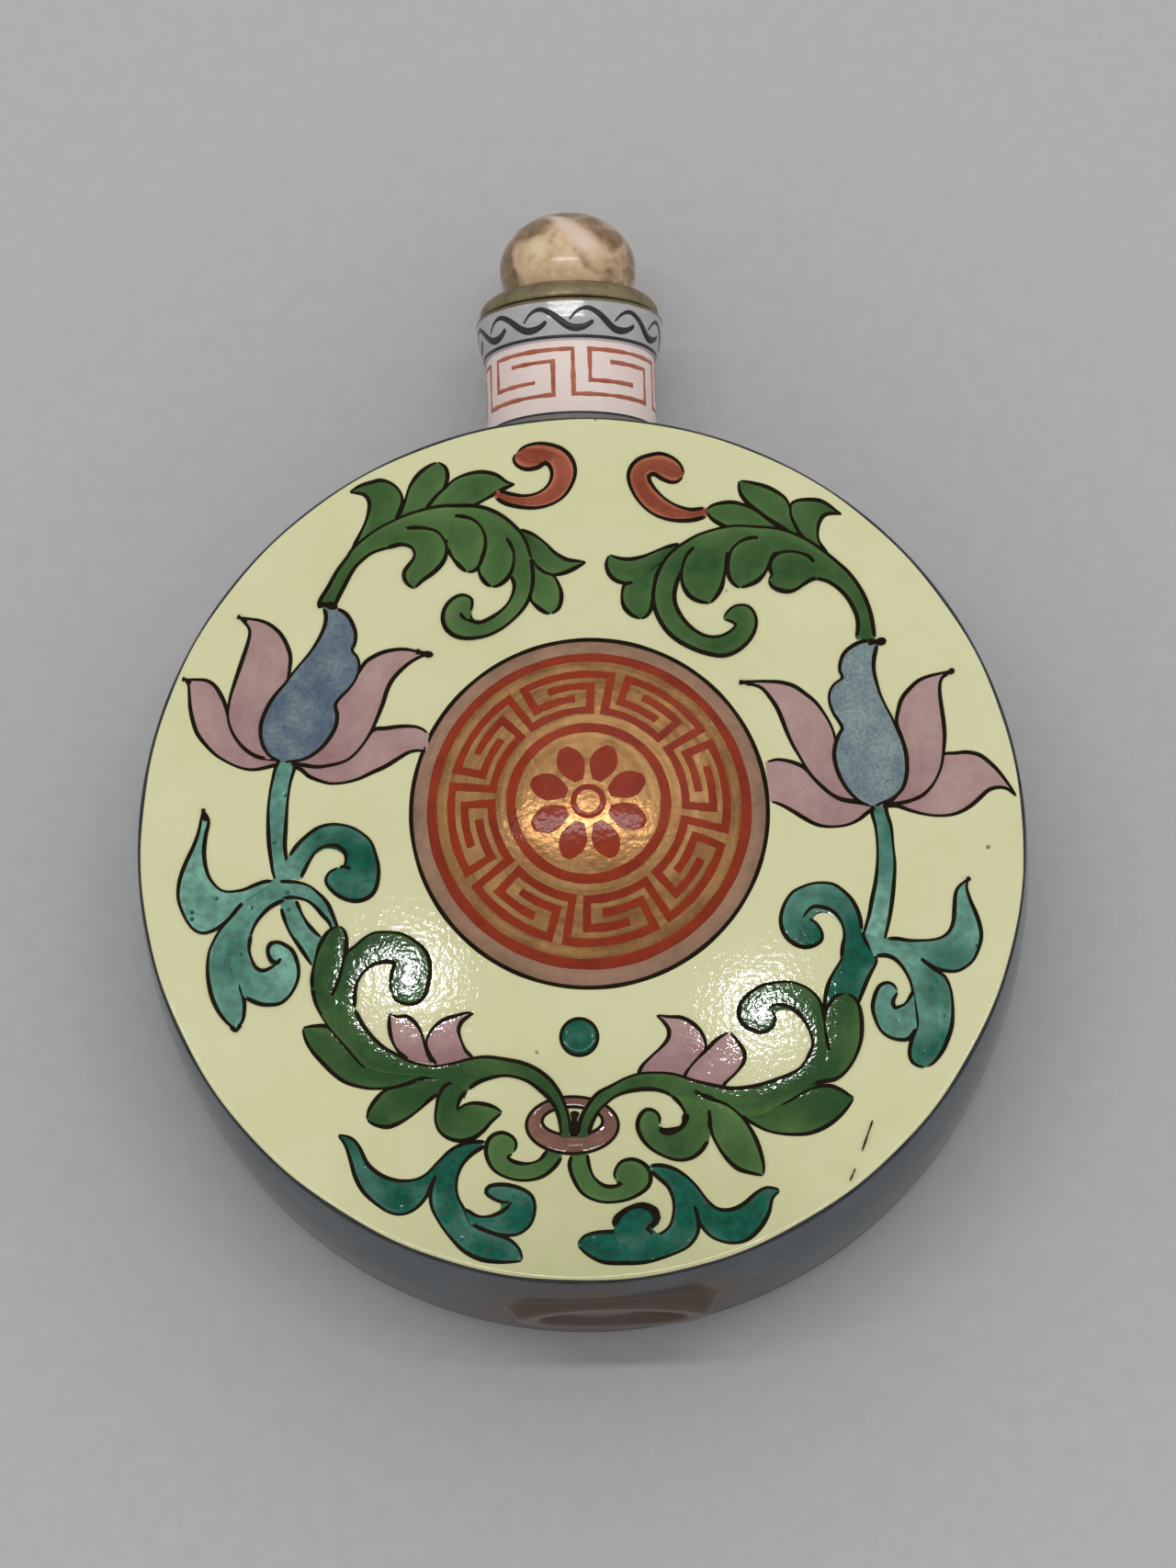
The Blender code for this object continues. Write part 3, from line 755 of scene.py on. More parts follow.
UPPER_LEFT = (
    ("outer leaf", LEAF,
     "383,599 391,583 398,568 402,553 401,544 395,538 380,536",
     "430,566 435,556 438,545 435,535 427,527 415,523 405,525 392,529 380,536"),
    ("second leaf", LEAF,
     "432,566 440,548 446,530 455,517 466,508 476,503",
     "458,560 468,551 478,540 485,528 487,517 484,508 476,503"),
    ("third leaf", LEAF,
     "462,556 475,540 485,531 495,522 510,516 525,514 540,517 552,525 561,527",
     "505,552 513,552 522,547 533,541 545,534 553,530 561,527"),
    ("red curl", CURL,
     "538,541 550,548 566,552 583,553 600,549 614,540 623,526 626,512 622,499 612,489 598,484 585,483 "
     "572,486 562,493",
     "541,534 556,538 571,540 585,537 595,530 600,521 600,511 594,504 585,509 573,511 563,507 559,500 "
     "562,493"),
    ("inner tip leaf", LEAF,
     "565,577 570,578 582,583 594,592 604,602 616,609 628,611 638,612",
     "579,608 582,615 590,622 600,626 613,624 625,619 638,612"),
    ("inner low leaf", LEAF,
     "577,640 578,653 585,661 594,667 599,668",
     "582,615 592,623 602,627 608,636 611,648 609,660 604,666 599,668"),
    ("stem", LEAF,
     "345,660 350,651 357,640 367,622 378,607 383,599 395,588 410,577 425,569 440,562 455,557 470,553 "
     "485,551 500,551 515,551 530,554 545,561 558,571 568,582 575,597 579,615 580,624",
     "364,661 367,653 372,643 384,621 393,611 405,602 420,597 440,592 470,590 500,592 526,608 546,618 "
     "556,626 560,636"),
    ("curl", LEAF,
     "577,606 579,615 580,632 577,648 570,662 558,675 545,685 530,692 512,695 497,693 486,685 482,673 "
     "485,661 493,652 503,648 512,651 514,657 512,668",
     "556,626 560,638 556,652 548,663 536,672 523,678 515,677 512,668"),
    ("under leaf three", LEAF,
     "524,610 521,618 523,627 529,635 535,639",
     "550,585 555,592 559,602 559,613 556,624 549,633 541,638 535,639"),
    ("under leaf two", LEAF,
     "486,597 488,599 493,608 500,616 508,623",
     "493,562 505,563 516,567 524,575 528,585 528,596 525,607 521,617 515,622 508,623"),
    ("under leaf one", LEAF,
     "420,597 435,593 446,595 451,601 450,609 444,617 440,624 441,632 446,638 451,641",
     "440,576 452,575 465,576 475,579 482,586 486,595 485,606 480,615 471,624 460,632 451,641"),
)

UPPER_RIGHT = (
    ("outer leaf", LEAF,
     "881,594 874,585 868,577 862,567 860,557 861,549 868,545 880,544 892,545 902,550 910,556 917,560",
     "904,609 897,598 891,588 890,578 892,568 897,561 905,559 917,560"),
    ("second leaf", LEAF,
     "862,582 850,573 838,565 825,556 813,547 806,537 804,527 805,523",
     "873,588 868,577 861,562 860,553 855,543 846,536 834,530 820,526 805,523"),
    ("third leaf", LEAF,
     "852,577 835,565 822,556 810,550 797,547 784,548 774,551 768,556",
     "832,580 810,574 792,574 781,569 774,564 768,556"),
    ("red curl", CURL,
     "770,562 755,566 740,567 725,565 712,560 701,552 692,541 686,529 684,518 687,508 695,500 706,496 "
     "718,494 729,497 738,503 743,511 744,518",
     "768,553 753,555 740,552 728,546 717,537 709,527 706,519 712,516 720,521 730,525 738,524 744,518"),
    ("inner tip leaf", LEAF,
     "740,592 725,596 712,601 700,606 686,609 674,608 663,604",
     "722,612 711,621 704,626 698,631 690,635 680,635 669,631 662,623 660,613 663,604"),
    ("inner low leaf", LEAF,
     "690,634 680,637 677,648 679,660 687,669 697,674",
     "722,612 713,630 711,650 708,664 703,671 697,674"),
    ("stem and curl", LEAF,
     "952,696 949,675 945,660 939,646 931,633 922,622 912,613 900,603 885,592 870,584 855,578 840,575 "
     "825,574 810,573 797,573 785,575 770,579 757,584 745,591 735,598 725,608 718,620 713,634 711,650 "
     "713,663 718,675 727,688 739,698 752,705 768,711 785,714 798,711 810,703 819,692 823,680 822,670 "
     "817,662 810,659 800,660 792,666 787,674",
     "932,696 934,684 933,672 928,660 921,649 912,640 901,633 890,630 870,625 850,618 830,612 810,608 "
     "790,605 770,605 755,610 745,618 739,628 735,640 734,653 738,665 746,677 757,687 770,693 783,693 "
     "794,688 801,681 797,677 787,674"),
    ("under leaf three", LEAF,
     "757,595 748,604 743,617 742,630 745,641 752,650 762,655 773,657",
     "792,600 790,615 788,628 785,640 779,650 773,657"),
    ("under leaf two", LEAF,
     "827,586 817,586 806,590 797,598 793,609 792,621 795,631 801,638 806,640",
     "845,600 838,612 833,623 825,632 815,637 806,640"),
    ("under leaf one", LEAF,
     "887,614 880,606 869,602 858,601 847,603 840,609 838,618 840,626 836,632",
     "890,630 883,631 875,636 868,641 860,644 850,643 841,639 836,632"),
)

LEFT_TEAL = (
    ("joint", TEAL,
     "266,981 290,984 314,980",
     "297,957 306,950 318,955",
     ""),
    ("stem", TEAL,
     "307,812 305,824 300,836 297,848 294,862 292,882 292,902 293,920 295,936 297,949 300,960",
     "324,812 323,824 320,838 316,852 313,872 311,900 310,920 312,936 318,955"),
    ("lower stem", TEAL,
     "300,972 306,988 310,1002 316,1016 325,1029 333,1041 340,1052",
     "316,966 322,980 328,994 335,1006 342,1014 350,1021",
     "a1- b1-"),
    ("arc band", TEAL,
     "303,960 312,960 325,961 337,965 347,973 356,983 362,996 366,1006 370,1016",
     "306,979 318,977 333,980 343,987 351,996 358,1004 362,1014"),
    ("curl", TEAL,
     "307,944 314,934 323,921 333,911 345,902 358,898 370,898 383,901 395,908 404,917 409,931 412,945 "
     "411,960 407,971 399,978 387,981 374,978 364,972 356,963 355,956 360,949 370,944",
     "319,957 327,957 331,948 337,937 345,926 356,921 366,921 374,926 377,934 375,942 370,944",
     "a1- b1-"),
    ("leaf", TEAL,
     "266,981 258,990 250,1000 242,1007 232,1013 221,1016 211,1012 203,1002 197,989 194,977 195,962 "
     "199,948 204,936 211,921 216,907 219,893 221,881",
     "299,960 289,960 277,964 265,969 252,971 242,970 234,964 227,954 223,940 222,925 224,909 227,894 "
     "221,881"),
    ("lower leaf", TEAL,
     "266,981 250,1000 240,1012 231,1028 227,1040 226,1057 228,1074 232,1089 239,1103 248,1114 257,1121",
     "312,979 300,984 290,991 279,1004 273,1018 271,1033 266,1058 262,1074 265,1085 266,1098 264,1111 "
     "257,1121"),
    ("lower curl", TEAL,
     "250,1043 254,1058 262,1075 265,1085 273,1089 283,1093 294,1094 306,1092 316,1083 323,1070 "
     "325,1058 323,1046 318,1035 310,1029 302,1026 295,1028 292,1035 294,1042 300,1048",
     "273,1018 271,1033 274,1045 279,1054 287,1057 298,1052 300,1048",
     "a3- b"),
)

RIGHT_TEAL = (
    ("stem", TEAL,
     "952,860 951,872 949,884 953,900 955,920 955,940 953,960 949,980 946,996 941,1013 938,1024",
     "964,860 964,872 965,884 970,900 972,920 974,940 973,960 971,980 968,1000 964,1018 962,1030"),
    ("lower stem", TEAL,
     "919,1020 917,1032 916,1044 909,1056 903,1068 899,1082 896,1104",
     "938,1014 943,1026 950,1036 954,1046 949,1057 943,1069 932,1098"),
    ("curl", TEAL,
     "938,1014 936,1000 932,988 926,978 918,970 908,963 896,961 884,962 872,966 862,972 854,984 850,998 "
     "851,1010 856,1020 864,1027 874,1031 884,1030 893,1025 895,1018 892,1010 886,1003 877,1000",
     "916,1044 917,1032 919,1020 918,1010 914,1000 906,992 896,988 886,987 880,991 875,998 877,1000"),
    ("leaf", TEAL,
     "941,1016 952,1020 964,1022 976,1022 990,1024 1004,1024 1016,1023 1026,1020 1034,1013 1038,1002 "
     "1039,988 1040,974 1044,965 1054,957",
     "951,1041 964,1040 982,1041 1000,1042 1008,1048 1018,1054 1030,1057 1042,1057 1052,1052 1060,1044 "
     "1066,1030 1068,1018 1066,1006 1062,994 1056,980 1052,966 1054,957",
     "a2- b3-"),
    ("lower leaf", TEAL,
     "1000,1042 1018,1056 1028,1063 1033,1072 1036,1084 1037,1100 1036,1116 1032,1130 1026,1144 "
     "1017,1156 1008,1162",
     "951,1041 964,1040 974,1044 982,1052 988,1062 992,1072 996,1095 998,1115 993,1130 990,1146 "
     "993,1156 1001,1161 1008,1162"),
    ("lower curl", TEAL,
     "998,1118 990,1130 980,1132 968,1129 959,1122 953,1110 950,1096 953,1082 958,1073 966,1070 "
     "973,1073 977,1080",
     "994,1078 991,1085 985,1093 979,1096 974,1097 972,1090 977,1080"),
)

LEFT_LOTUS = (
    ("far petal", PETAL,
     "318,832 300,833 288,836 275,838 262,836 248,830 235,822 224,811 215,799 210,785 207,770 206,755 "
     "205,745 200,740",
     "312,826 290,826 270,818 256,800 249,782 246,770 241,758 234,747 225,741 213,740 200,740"),
    ("low petal", PETAL,
     "318,831 340,834 362,833 380,826 395,810 406,795 420,793 435,791 450,791 460,794 467,800",
     "318,834 328,838 336,845 348,850 360,853 375,852 390,848 405,841 420,834 433,826 445,819 456,817 "
     "466,819"),
    ("left petal", PETAL,
     "292,827 278,823 266,815 256,803 250,790 248,778 250,762 254,748 259,733 264,718 269,703 272,690 "
     "270,682 260,672",
     "300,825 288,815 284,800 286,785 293,768 303,755 312,745 315,730 316,715 312,702 305,690 295,681 "
     "284,676 272,674 260,672"),
    ("right petal", PETAL,
     "318,822 336,816 357,795 366,765 385,740 397,722 405,716 415,711 427,708 440,707 452,709 463,712 "
     "470,712",
     "314,831 330,833 345,835 360,833 375,829 385,822 394,812 402,800 407,790 412,778 417,765 421,752 "
     "427,740 437,729 448,720 460,714 470,712"),
    ("bud", BUD,
     "352,660 355,671 353,683 347,696 338,710 328,722 318,734 310,745 302,754 294,765 288,777 284,790 "
     "284,803 288,815 295,824 308,830",
     "365,662 376,668 383,678 387,690 386,701 383,708 389,716 391,727 387,740 379,751 370,760 365,768 "
     "367,778 366,789 361,800 353,811 343,820 330,827 308,830"),
)

RIGHT_LOTUS = (
    ("low petal", PETAL,
     "955,876 935,874 915,871 900,862 888,850 877,837 866,831 855,828 845,827 833,830",
     "955,878 945,884 935,892 922,898 905,900 890,898 876,891 863,883 850,876 838,872"),
    ("far petal", PETAL,
     "958,876 985,873 1003,867 1015,855 1023,838 1026,822 1040,820 1053,819 1066,822 1077,830 1087,840 "
     "1097,853 1107,868",
     "958,878 975,877 990,882 1005,886 1020,888 1035,887 1047,883 1058,876 1067,868 1076,860 1087,857 "
     "1097,859 1107,868"),
    ("left petal", PETAL,
     "930,862 915,830 908,800 903,787 895,774 887,764 876,755 864,747 850,743 835,742 820,742 806,743",
     "935,872 920,871 907,866 895,856 885,846 877,835 870,823 863,811 857,798 852,785 846,771 838,759 "
     "829,749 818,745 806,743"),
    ("right petal", PETAL,
     "956,872 970,872 985,850 988,825 982,803 976,787 978,772 982,760 990,750 1000,741 1012,736 "
     "1025,733 1037,730",
     "958,877 975,875 990,872 1003,866 1013,857 1020,846 1025,832 1027,817 1028,802 1027,787 1025,772 "
     "1023,757 1023,744 1027,736 1037,730"),
    ("bud", BUD,
     "948,698 937,699 927,704 919,711 915,720 914,730 917,738 908,745 903,754 903,765 907,776 913,785 "
     "917,793 913,800 909,812 908,823 910,834 914,845 920,856 928,866 938,874 950,878",
     "955,700 953,708 951,718 951,730 954,743 958,756 964,769 971,782 976,793 981,804 985,816 987,829 "
     "987,842 984,855 978,864 968,871 950,878"),
)

LOWER_LEFT = (
    ("joint", LEAF,
     "436,1170 470,1172 512,1180",
     "440,1188 470,1194 506,1196",
     ""),
    ("leaf", LEAF,
     "400,1164 388,1153 378,1140 367,1128 357,1118 343,1117 329,1119",
     "486,1171 473,1171 460,1174 444,1179 431,1183 418,1185 402,1185 387,1182 374,1177 362,1168 "
     "352,1158 341,1146 333,1133 329,1119"),
    ("drop leaf", LEAF,
     "455,1176 435,1183 420,1187 410,1196 402,1208 399,1219",
     "478,1190 468,1197 457,1207 444,1217 431,1224 420,1227 407,1224 399,1219"),
    ("round leaf", LEAF,
     "499,1177 486,1181 478,1192 475,1206 474,1219 478,1231 488,1239 501,1242 515,1239 526,1231 "
     "535,1221 547,1211",
     "508,1187 501,1196 498,1207 506,1203 515,1201 526,1202 537,1205 547,1211"),
    ("small petal left", PETAL,
     "445,1154 434,1145 427,1133 424,1119 424,1103",
     "470,1158 463,1140 459,1126 453,1115 443,1107 432,1107 424,1103"),
    ("small petal right", PETAL,
     "476,1160 468,1149 464,1137 467,1126 474,1117 484,1110 497,1106 508,1103 516,1103",
     "515,1152 507,1144 502,1133 499,1122 502,1113 509,1107 516,1103"),
    ("body", LEAF,
     "340,1070 341,1080 344,1093 351,1107 360,1120 372,1134 386,1150 399,1164",
     "365,1075 375,1090 386,1098 392,1111 400,1123 409,1133 420,1142 433,1149",
     "a"),
    ("stem", LEAF,
     "386,1098 392,1111 400,1123 409,1133 420,1142 433,1149 446,1156 462,1160 477,1161 497,1157 "
     "512,1153 530,1151 552,1154 570,1158 585,1165 598,1175 608,1188 614,1201 618,1213 620,1224 "
     "621,1238",
     "350,1105 362,1122 380,1142 400,1163 430,1170 460,1172 485,1176 508,1187 519,1179 532,1174 "
     "548,1171 563,1173 576,1178 587,1186 597,1195 604,1205 608,1215 610,1226 611,1238",
     "a b7-"),
    ("curl", LEAF,
     "360,1086 369,1065 376,1040 387,1030 396,1022 407,1016 420,1015 433,1016 444,1020 453,1026 "
     "462,1034 467,1045 468,1058 466,1071 462,1084 453,1092 442,1093 431,1089 426,1082",
     "386,1098 386,1087 387,1076 391,1065 398,1056 407,1050 420,1047 429,1049 427,1058 425,1071 "
     "426,1082"),
    ("bud leaf", LEAF,
     "340,1078 340,1062 343,1047 348,1030 357,1015 369,1008",
     "360,1086 365,1076 369,1065 373,1049 376,1036 377,1025 375,1014 369,1008"),
)

LOWER_RIGHT = (
    ("joint", LEAF,
     "846,1205 870,1195 894,1184",
     "862,1172 880,1168 902,1160",
     ""),
    ("right leaf", LEAF,
     "849,1203 861,1197 874,1190 887,1184 902,1182 914,1186 924,1192 930,1195",
     "790,1203 804,1213 818,1222 833,1230 849,1234 864,1235 879,1234 894,1229 907,1221 919,1210 "
     "930,1195"),
    ("small petal left", PETAL,
     "694,1175 698,1162 709,1150 719,1141 727,1131 728,1121 722,1112 714,1105",
     "742,1184 747,1168 757,1157 766,1147 768,1136 764,1125 755,1115 742,1108 728,1107 714,1105"),
    ("small petal right", PETAL,
     "742,1186 747,1168 757,1155 768,1144 780,1132 794,1123",
     "782,1198 788,1181 800,1169 809,1157 810,1146 803,1134 794,1123"),
    ("body", LEAF,
     "629,1238 630,1227 634,1214 641,1202 651,1190 666,1182 681,1174 697,1169 714,1168 730,1169 "
     "742,1172 757,1177 778,1182 795,1185 813,1184 828,1181 846,1175 861,1169 871,1163 877,1155 "
     "882,1146 885,1136",
     "640,1238 642,1229 646,1219 652,1209 660,1201 669,1194 681,1189 697,1186 712,1186 724,1189 "
     "736,1196 755,1200 775,1203 800,1212 825,1215 849,1203 866,1193 884,1180 900,1160 903,1146",
     "a b-10"),
    ("drop curl", LEAF,
     "776,1200 778,1216 774,1230 772,1240 768,1246 763,1253 754,1260 742,1263 729,1261 714,1254 "
     "704,1246 697,1236 694,1225 697,1214 704,1208 713,1210 718,1217 717,1226",
     "730,1192 738,1199 743,1206 746,1213 746,1220 742,1227 733,1231 724,1232 717,1226",
     "a3- b"),
    ("drop leaf", LEAF,
     "772,1210 774,1230 780,1245 790,1260 803,1272 818,1277 831,1280",
     "759,1191 775,1197 791,1203 804,1213 815,1226 823,1241 828,1255 831,1268 831,1280"),
    ("curl", LEAF,
     "903,1146 900,1125 897,1108 893,1092 888,1084 880,1077 870,1072 858,1069 844,1070 830,1073 "
     "818,1080 808,1090 804,1102 808,1114 818,1121 830,1124 840,1119 844,1110 841,1102 836,1100",
     "876,1158 882,1146 885,1136 882,1124 876,1112 868,1102 858,1096 846,1094 838,1097 836,1100"),
    ("bud leaf", LEAF,
     "903,1146 900,1132 898,1118 898,1104 902,1094 910,1085 920,1082",
     "884,1180 897,1177 909,1175 919,1168 927,1158 933,1146 937,1132 938,1118 937,1104 934,1093 "
     "928,1085 920,1082"),
)

UNDER_RING = (
    ("right scroll", LEAF,
     "623,1256 620,1268 624,1283 633,1298 646,1306 661,1309 679,1307 694,1301 706,1291 708,1278 "
     "702,1268 689,1262 676,1265 669,1276 670,1286",
     "639,1256 641,1268 646,1281 656,1290 666,1292 676,1289 670,1286"),
    ("left scroll", LEAF,
     "612,1258 604,1270 590,1281 573,1285 555,1283 539,1275 531,1263 529,1250 534,1238 546,1233 "
     "558,1238 562,1247 558,1256",
     "596,1252 587,1263 573,1267 560,1265 553,1260 558,1256"),
)

BOTTOM_LEFT = (
    ("leaf", TEAL,
     "476,1277 470,1290 463,1304 452,1316 438,1322 424,1320 410,1311 396,1298 387,1282 382,1265 "
     "376,1247 367,1235",
     "530,1243 509,1244 491,1252 477,1265 463,1279 449,1285 431,1285 414,1279 400,1267 391,1249 "
     "382,1239 367,1235"),
    ("arm and leaf", TEAL,
     "497,1250 484,1262 475,1277 469,1296 470,1314 479,1332 491,1348 505,1362 523,1371 544,1374 "
     "569,1373",
     "530,1246 513,1257 502,1270 497,1286 498,1302 505,1316 514,1332 527,1339 543,1345 555,1350 "
     "565,1360 569,1373",
     "a2- b"),
    ("curl", TEAL,
     "512,1332 527,1339 543,1344 562,1344 576,1335 582,1320 580,1304 569,1295 551,1290 534,1291 "
     "529,1298 537,1305 548,1309 558,1308",
     "505,1316 520,1324 534,1324 548,1318 558,1308"),
)

BOTTOM_RIGHT = (
    ("leaf", TEAL,
     "753,1307 757,1321 764,1335 774,1346 788,1352 802,1353 816,1348 829,1335 837,1320 841,1304 "
     "850,1296",
     "706,1269 722,1269 739,1275 756,1289 770,1307 781,1316 795,1317 809,1311 823,1299 834,1293 "
     "845,1294 850,1296"),
    ("arm and leaf", TEAL,
     "735,1275 748,1292 755,1310 760,1328 759,1343 749,1357 728,1367 703,1374 679,1375 657,1374 "
     "640,1366 628,1355",
     "706,1273 718,1283 728,1293 733,1307 733,1321 728,1336 714,1345 695,1344 677,1341 662,1341 "
     "648,1342 636,1346 628,1355",
     "a2- b"),
    ("curl", TEAL,
     "672,1352 668,1336 670,1326 682,1316 700,1312 713,1316 716,1325 710,1332 703,1336",
     "730,1352 722,1346 710,1343 703,1336",
     "a1- b2-"),
)

# Sprays, from the first laid to the last, each with the depth of its colour and the lobes whose depth
# differs or changes from root to tip.
SPRAYS = (
    (UPPER_LEFT, 0.55, {}),
    (UPPER_RIGHT, 0.7, {}),
    (LEFT_TEAL, 0.48, {"stem": (0.5, 0.44, 0.44), "curl": (0.5, 0.97, 0.72), "leaf": (0.36, 0.08, 0.2),
                       "lower leaf": (0.42, 0.62, 0.14), "lower curl": (0.58, 0.26, 0.2)}),
    (LEFT_LOTUS, 0.5, {"bud": (0.48, 0.76, 0.7)}),
    (RIGHT_TEAL, 0.5, {"stem": (0.78, 0.4, 0.05), "lower stem": 0.88, "curl": (0.8, 0.48, 0.78),
                       "leaf": (0.35, 0.6, 0.42), "lower leaf": (0.45, 0.56, 0.85)}),
    (RIGHT_LOTUS, 0.1, {"bud": 0.26}),
    (LOWER_LEFT, 0.95, {}),
    (LOWER_RIGHT, 0.93, {"drop leaf": 0.54, "drop curl": (0.55, 0.85, 0.62)}),
    (UNDER_RING, 0.5, {}),
    (BOTTOM_LEFT, 0.81, {}),
    (BOTTOM_RIGHT, 0.83, {"arm and leaf": (0.83, 0.88, 0.93), "curl": 0.9}),
)

# Single ink strokes: pixels and width in millimetres. The marks are hairs of dark glaze on the front alone.
STROKES = (
    ("515,677 506,674 500,667", 0.2),
    ("370,944 376,944 382,946", 0.2),
    ("301,1026 294,1028 291,1035 294,1044 301,1049 307,1042", 0.26),
    ("345,658 356,659 368,661", 0.42),
    ("944,699 955,699 965,697", 0.42),
    ("772,1208 772,1222 774,1232", 0.2),
    ("626,1209 625,1222 626,1237", 0.48),
    ("755,1188 762,1191 770,1194 780,1199", 0.24),
    ("746,1211 746,1219 742,1227 733,1231 724,1232 716,1228", 0.4),
    ("262,1115 257,1122 250,1116", 0.24),
    ("669,1337 671,1327 682,1317 697,1312 709,1316 715,1325 711,1334 704,1336", 0.4),
    ("452,709 463,712 472,713", 0.34),
    ("258,671 264,674 269,678", 0.25),
    ("198,739 204,741 208,744", 0.25),
    ("804,743 812,743 820,745", 0.28),
    ("1027,735 1033,732 1039,729", 0.3),
    ("1050,961 1053,958 1056,955", 0.25),
    ("221,880 222,887 224,895", 0.24),
)
MARKS = (("950,1219 938,1254", 0.1), ("931,1272 925,1286", 0.08))
STROKE_POINTS = 16
STROKE_LIFT = FILL_LIFT + LAYER_STEP * 11

# The brown ring in which the lower sprays meet, and the teal dot above it, in pixels, with their lifts and
# lines in millimetres.
CIRCLE_POINTS = 72
RING_PIXEL = (623.0, 1225.0)
RING_OUTER = (50.0, 31.0)
HOLE_PIXEL = (623.0, 1220.5)
RING_INNER = (33.0, 15.5)
RING_LIFT = 0.035
RING_CROWN = 0.016
RING_LINE_HALF = 0.1
DOT_PIXEL = (630.5, 1129.0)
DOT_RADIUS = 20.0
DOT_SHADE = 0.82
DOT_LINE_HALF = 0.11
FILL_NAMES = {LEAF: "green_leaves", TEAL: "teal_scroll", PETAL: "pink_petals", BUD: "blue_buds",
              CURL: "red_curls", RING: "brown_ring"}


def inked(text, side):
    """The knots that carry ink on a side, as a slice, from words such as "a", "b7-" or "b-8"."""
    for word in text.split():
        if word[0] == side:
            first, _, last = word[1:].partition("-")
            return slice(int(first or 0), int(last) + 1 if last else None)
    return slice(0)


def run_of(knots):
    """The length of the straight stretches between the knots."""
    return np.sum(np.linalg.norm(np.diff(knots, axis=0), axis=1))


def ink_line(knots, place, lift):
    """A brush line through the knots, whose ends widen over the same length however long it is."""
    run = run_of(knots)
    count = max(LOBE_LENGTHS, int(run / BRUSH_STEP))
    half = 0.5 * INK_WIDTH * taper(count, min(BRUSH_END, BRUSH_TIP / run))
    return ribbon(smooth_route(knots, count), half, place, lift)


def paint_scroll(place, prefix):
    """All sprays on one face: fills gathered by finish, ink lines on their sides, a layer step per lobe."""
    fills = {}
    ink = []
    for spray, depth, own in SPRAYS:
        for layer, (label, finish, text_a, text_b, *lined) in enumerate(spray):
            lift = FILL_LIFT + LAYER_STEP * layer
            sides = [on_face(points(text)) for text in (text_a, text_b)]
            count = max(LOBE_LENGTHS, int(max(run_of(knots) for knots in sides) / BRUSH_STEP))
            a, b = (smooth_route(knots, count) for knots in sides)
            fills.setdefault(finish, []).append(lobe(a, b, place, lift, own.get(label, depth)))
            for side, knots in zip("ab", sides):
                knots = knots[inked(lined[0] if lined else "a b", side)]
                if len(knots) > 1:
                    ink.append(ink_line(knots, place, lift + LINE_LIFT))
    for text, wide in STROKES + (MARKS if prefix == "front" else ()):
        path = smooth_route(on_face(points(text)), STROKE_POINTS)
        ink.append(ribbon(path, 0.5 * wide * taper(STROKE_POINTS), place, STROKE_LIFT))
    circle = rays(CIRCLE_POINTS) * (1, -1)
    outer = on_face(np.array(RING_PIXEL) + circle * RING_OUTER)
    inner = on_face(np.array(HOLE_PIXEL) + circle * RING_INNER)
    half = np.linalg.norm(outer - inner, axis=1) / 2
    fills[RING] = [ribbon((outer + inner) / 2, half, place, RING_LIFT, crown=RING_CROWN, closed=True)]
    for edge in (outer, inner):
        ink.append(ribbon(edge, RING_LINE_HALF, place, RING_LIFT + LINE_LIFT, closed=True))
    dot = on_face(np.array(DOT_PIXEL) + circle * DOT_RADIUS)
    radii = (dot.max(0) - dot.min(0)) / 2
    fills[TEAL].append(blob(dot.mean(0), radii, place, FILL_LIFT, DOT_SHADE))
    ink.append(ribbon(dot, DOT_LINE_HALF, place, FILL_LIFT + LINE_LIFT, closed=True))
    for finish, sheets in fills.items():
        piece(prefix + "_" + FILL_NAMES[finish], sheets, finish, "bottle", sharp=PAINT_SHARP)
    piece(prefix + "_scroll_lines", ink, INK, "bottle", sharp=PAINT_SHARP)


# The roundel on the boss: a ring of key fret round a rosette. Its heads, feet, rings, roots and tips are in
# boss radii. A key stroke's corners are in units along the ring and in shares of its height. Its steps are
# the spacing of its points, their distance from a corner and their distance from its free ends.
BOSS_CENTRE = np.array([BOSS_X, BOSS_Y])
KEY_UNITS = 8
KEY_START = 11.0
KEY_FOOT = 0.545
KEY_HEAD = 0.775
KEY_RINGS = (0.885, 0.435)
KEY_RED_WIDTH = 0.5
KEY_WAVER = 0.12
KEY_LIFT = 0.034
KEY_LIFT_STEP = 0.0004
BOSS_STROKE = ((0.64, 0.333), (0.16, 0.333), (0.16, 1.0), (1.0, 1.0), (1.0, 0.0), (1.81, 0.0), (1.81, 0.667),
               (1.355, 0.667))
BOSS_STROKE_STEPS = (0.3, 0.4, 0.06)
RING_RED_WIDTH = 0.62
RING_WAVER = 0.1
RING_POINTS = 160
GILT_LIFT = 0.014
RED_LIFT = 0.030
PAINT_SHADE = 0.5
ROSETTE_PETALS = 8
ROSETTE_ROOT = 0.13
ROSETTE_TIP = 0.355
ROSETTE_SPREAD = 19.0
ROSETTE_START = 0.18
ROSETTE_FULLNESS = 0.8
BUTTON_RADII = (1.05, 1.05)
BUTTON_LIFT = 0.026
BUTTON_GILT_RADII = (0.7, 0.7)
BUTTON_GILT_LIFT = 0.04
BORDER_OFFSET = 0.06
BORDER_WIDTH = 0.25
BORDER_WAVER = 0.14
BORDER_SEED = 3
BORDER_POINTS = 192
BORDER_LIFT = 0.03


# A hand's wavering: sines by their number of waves and the share of the seed that sets their phase.
WAVER_SINES = ((5, 0.37), (11, 0.61), (23, 0.83))


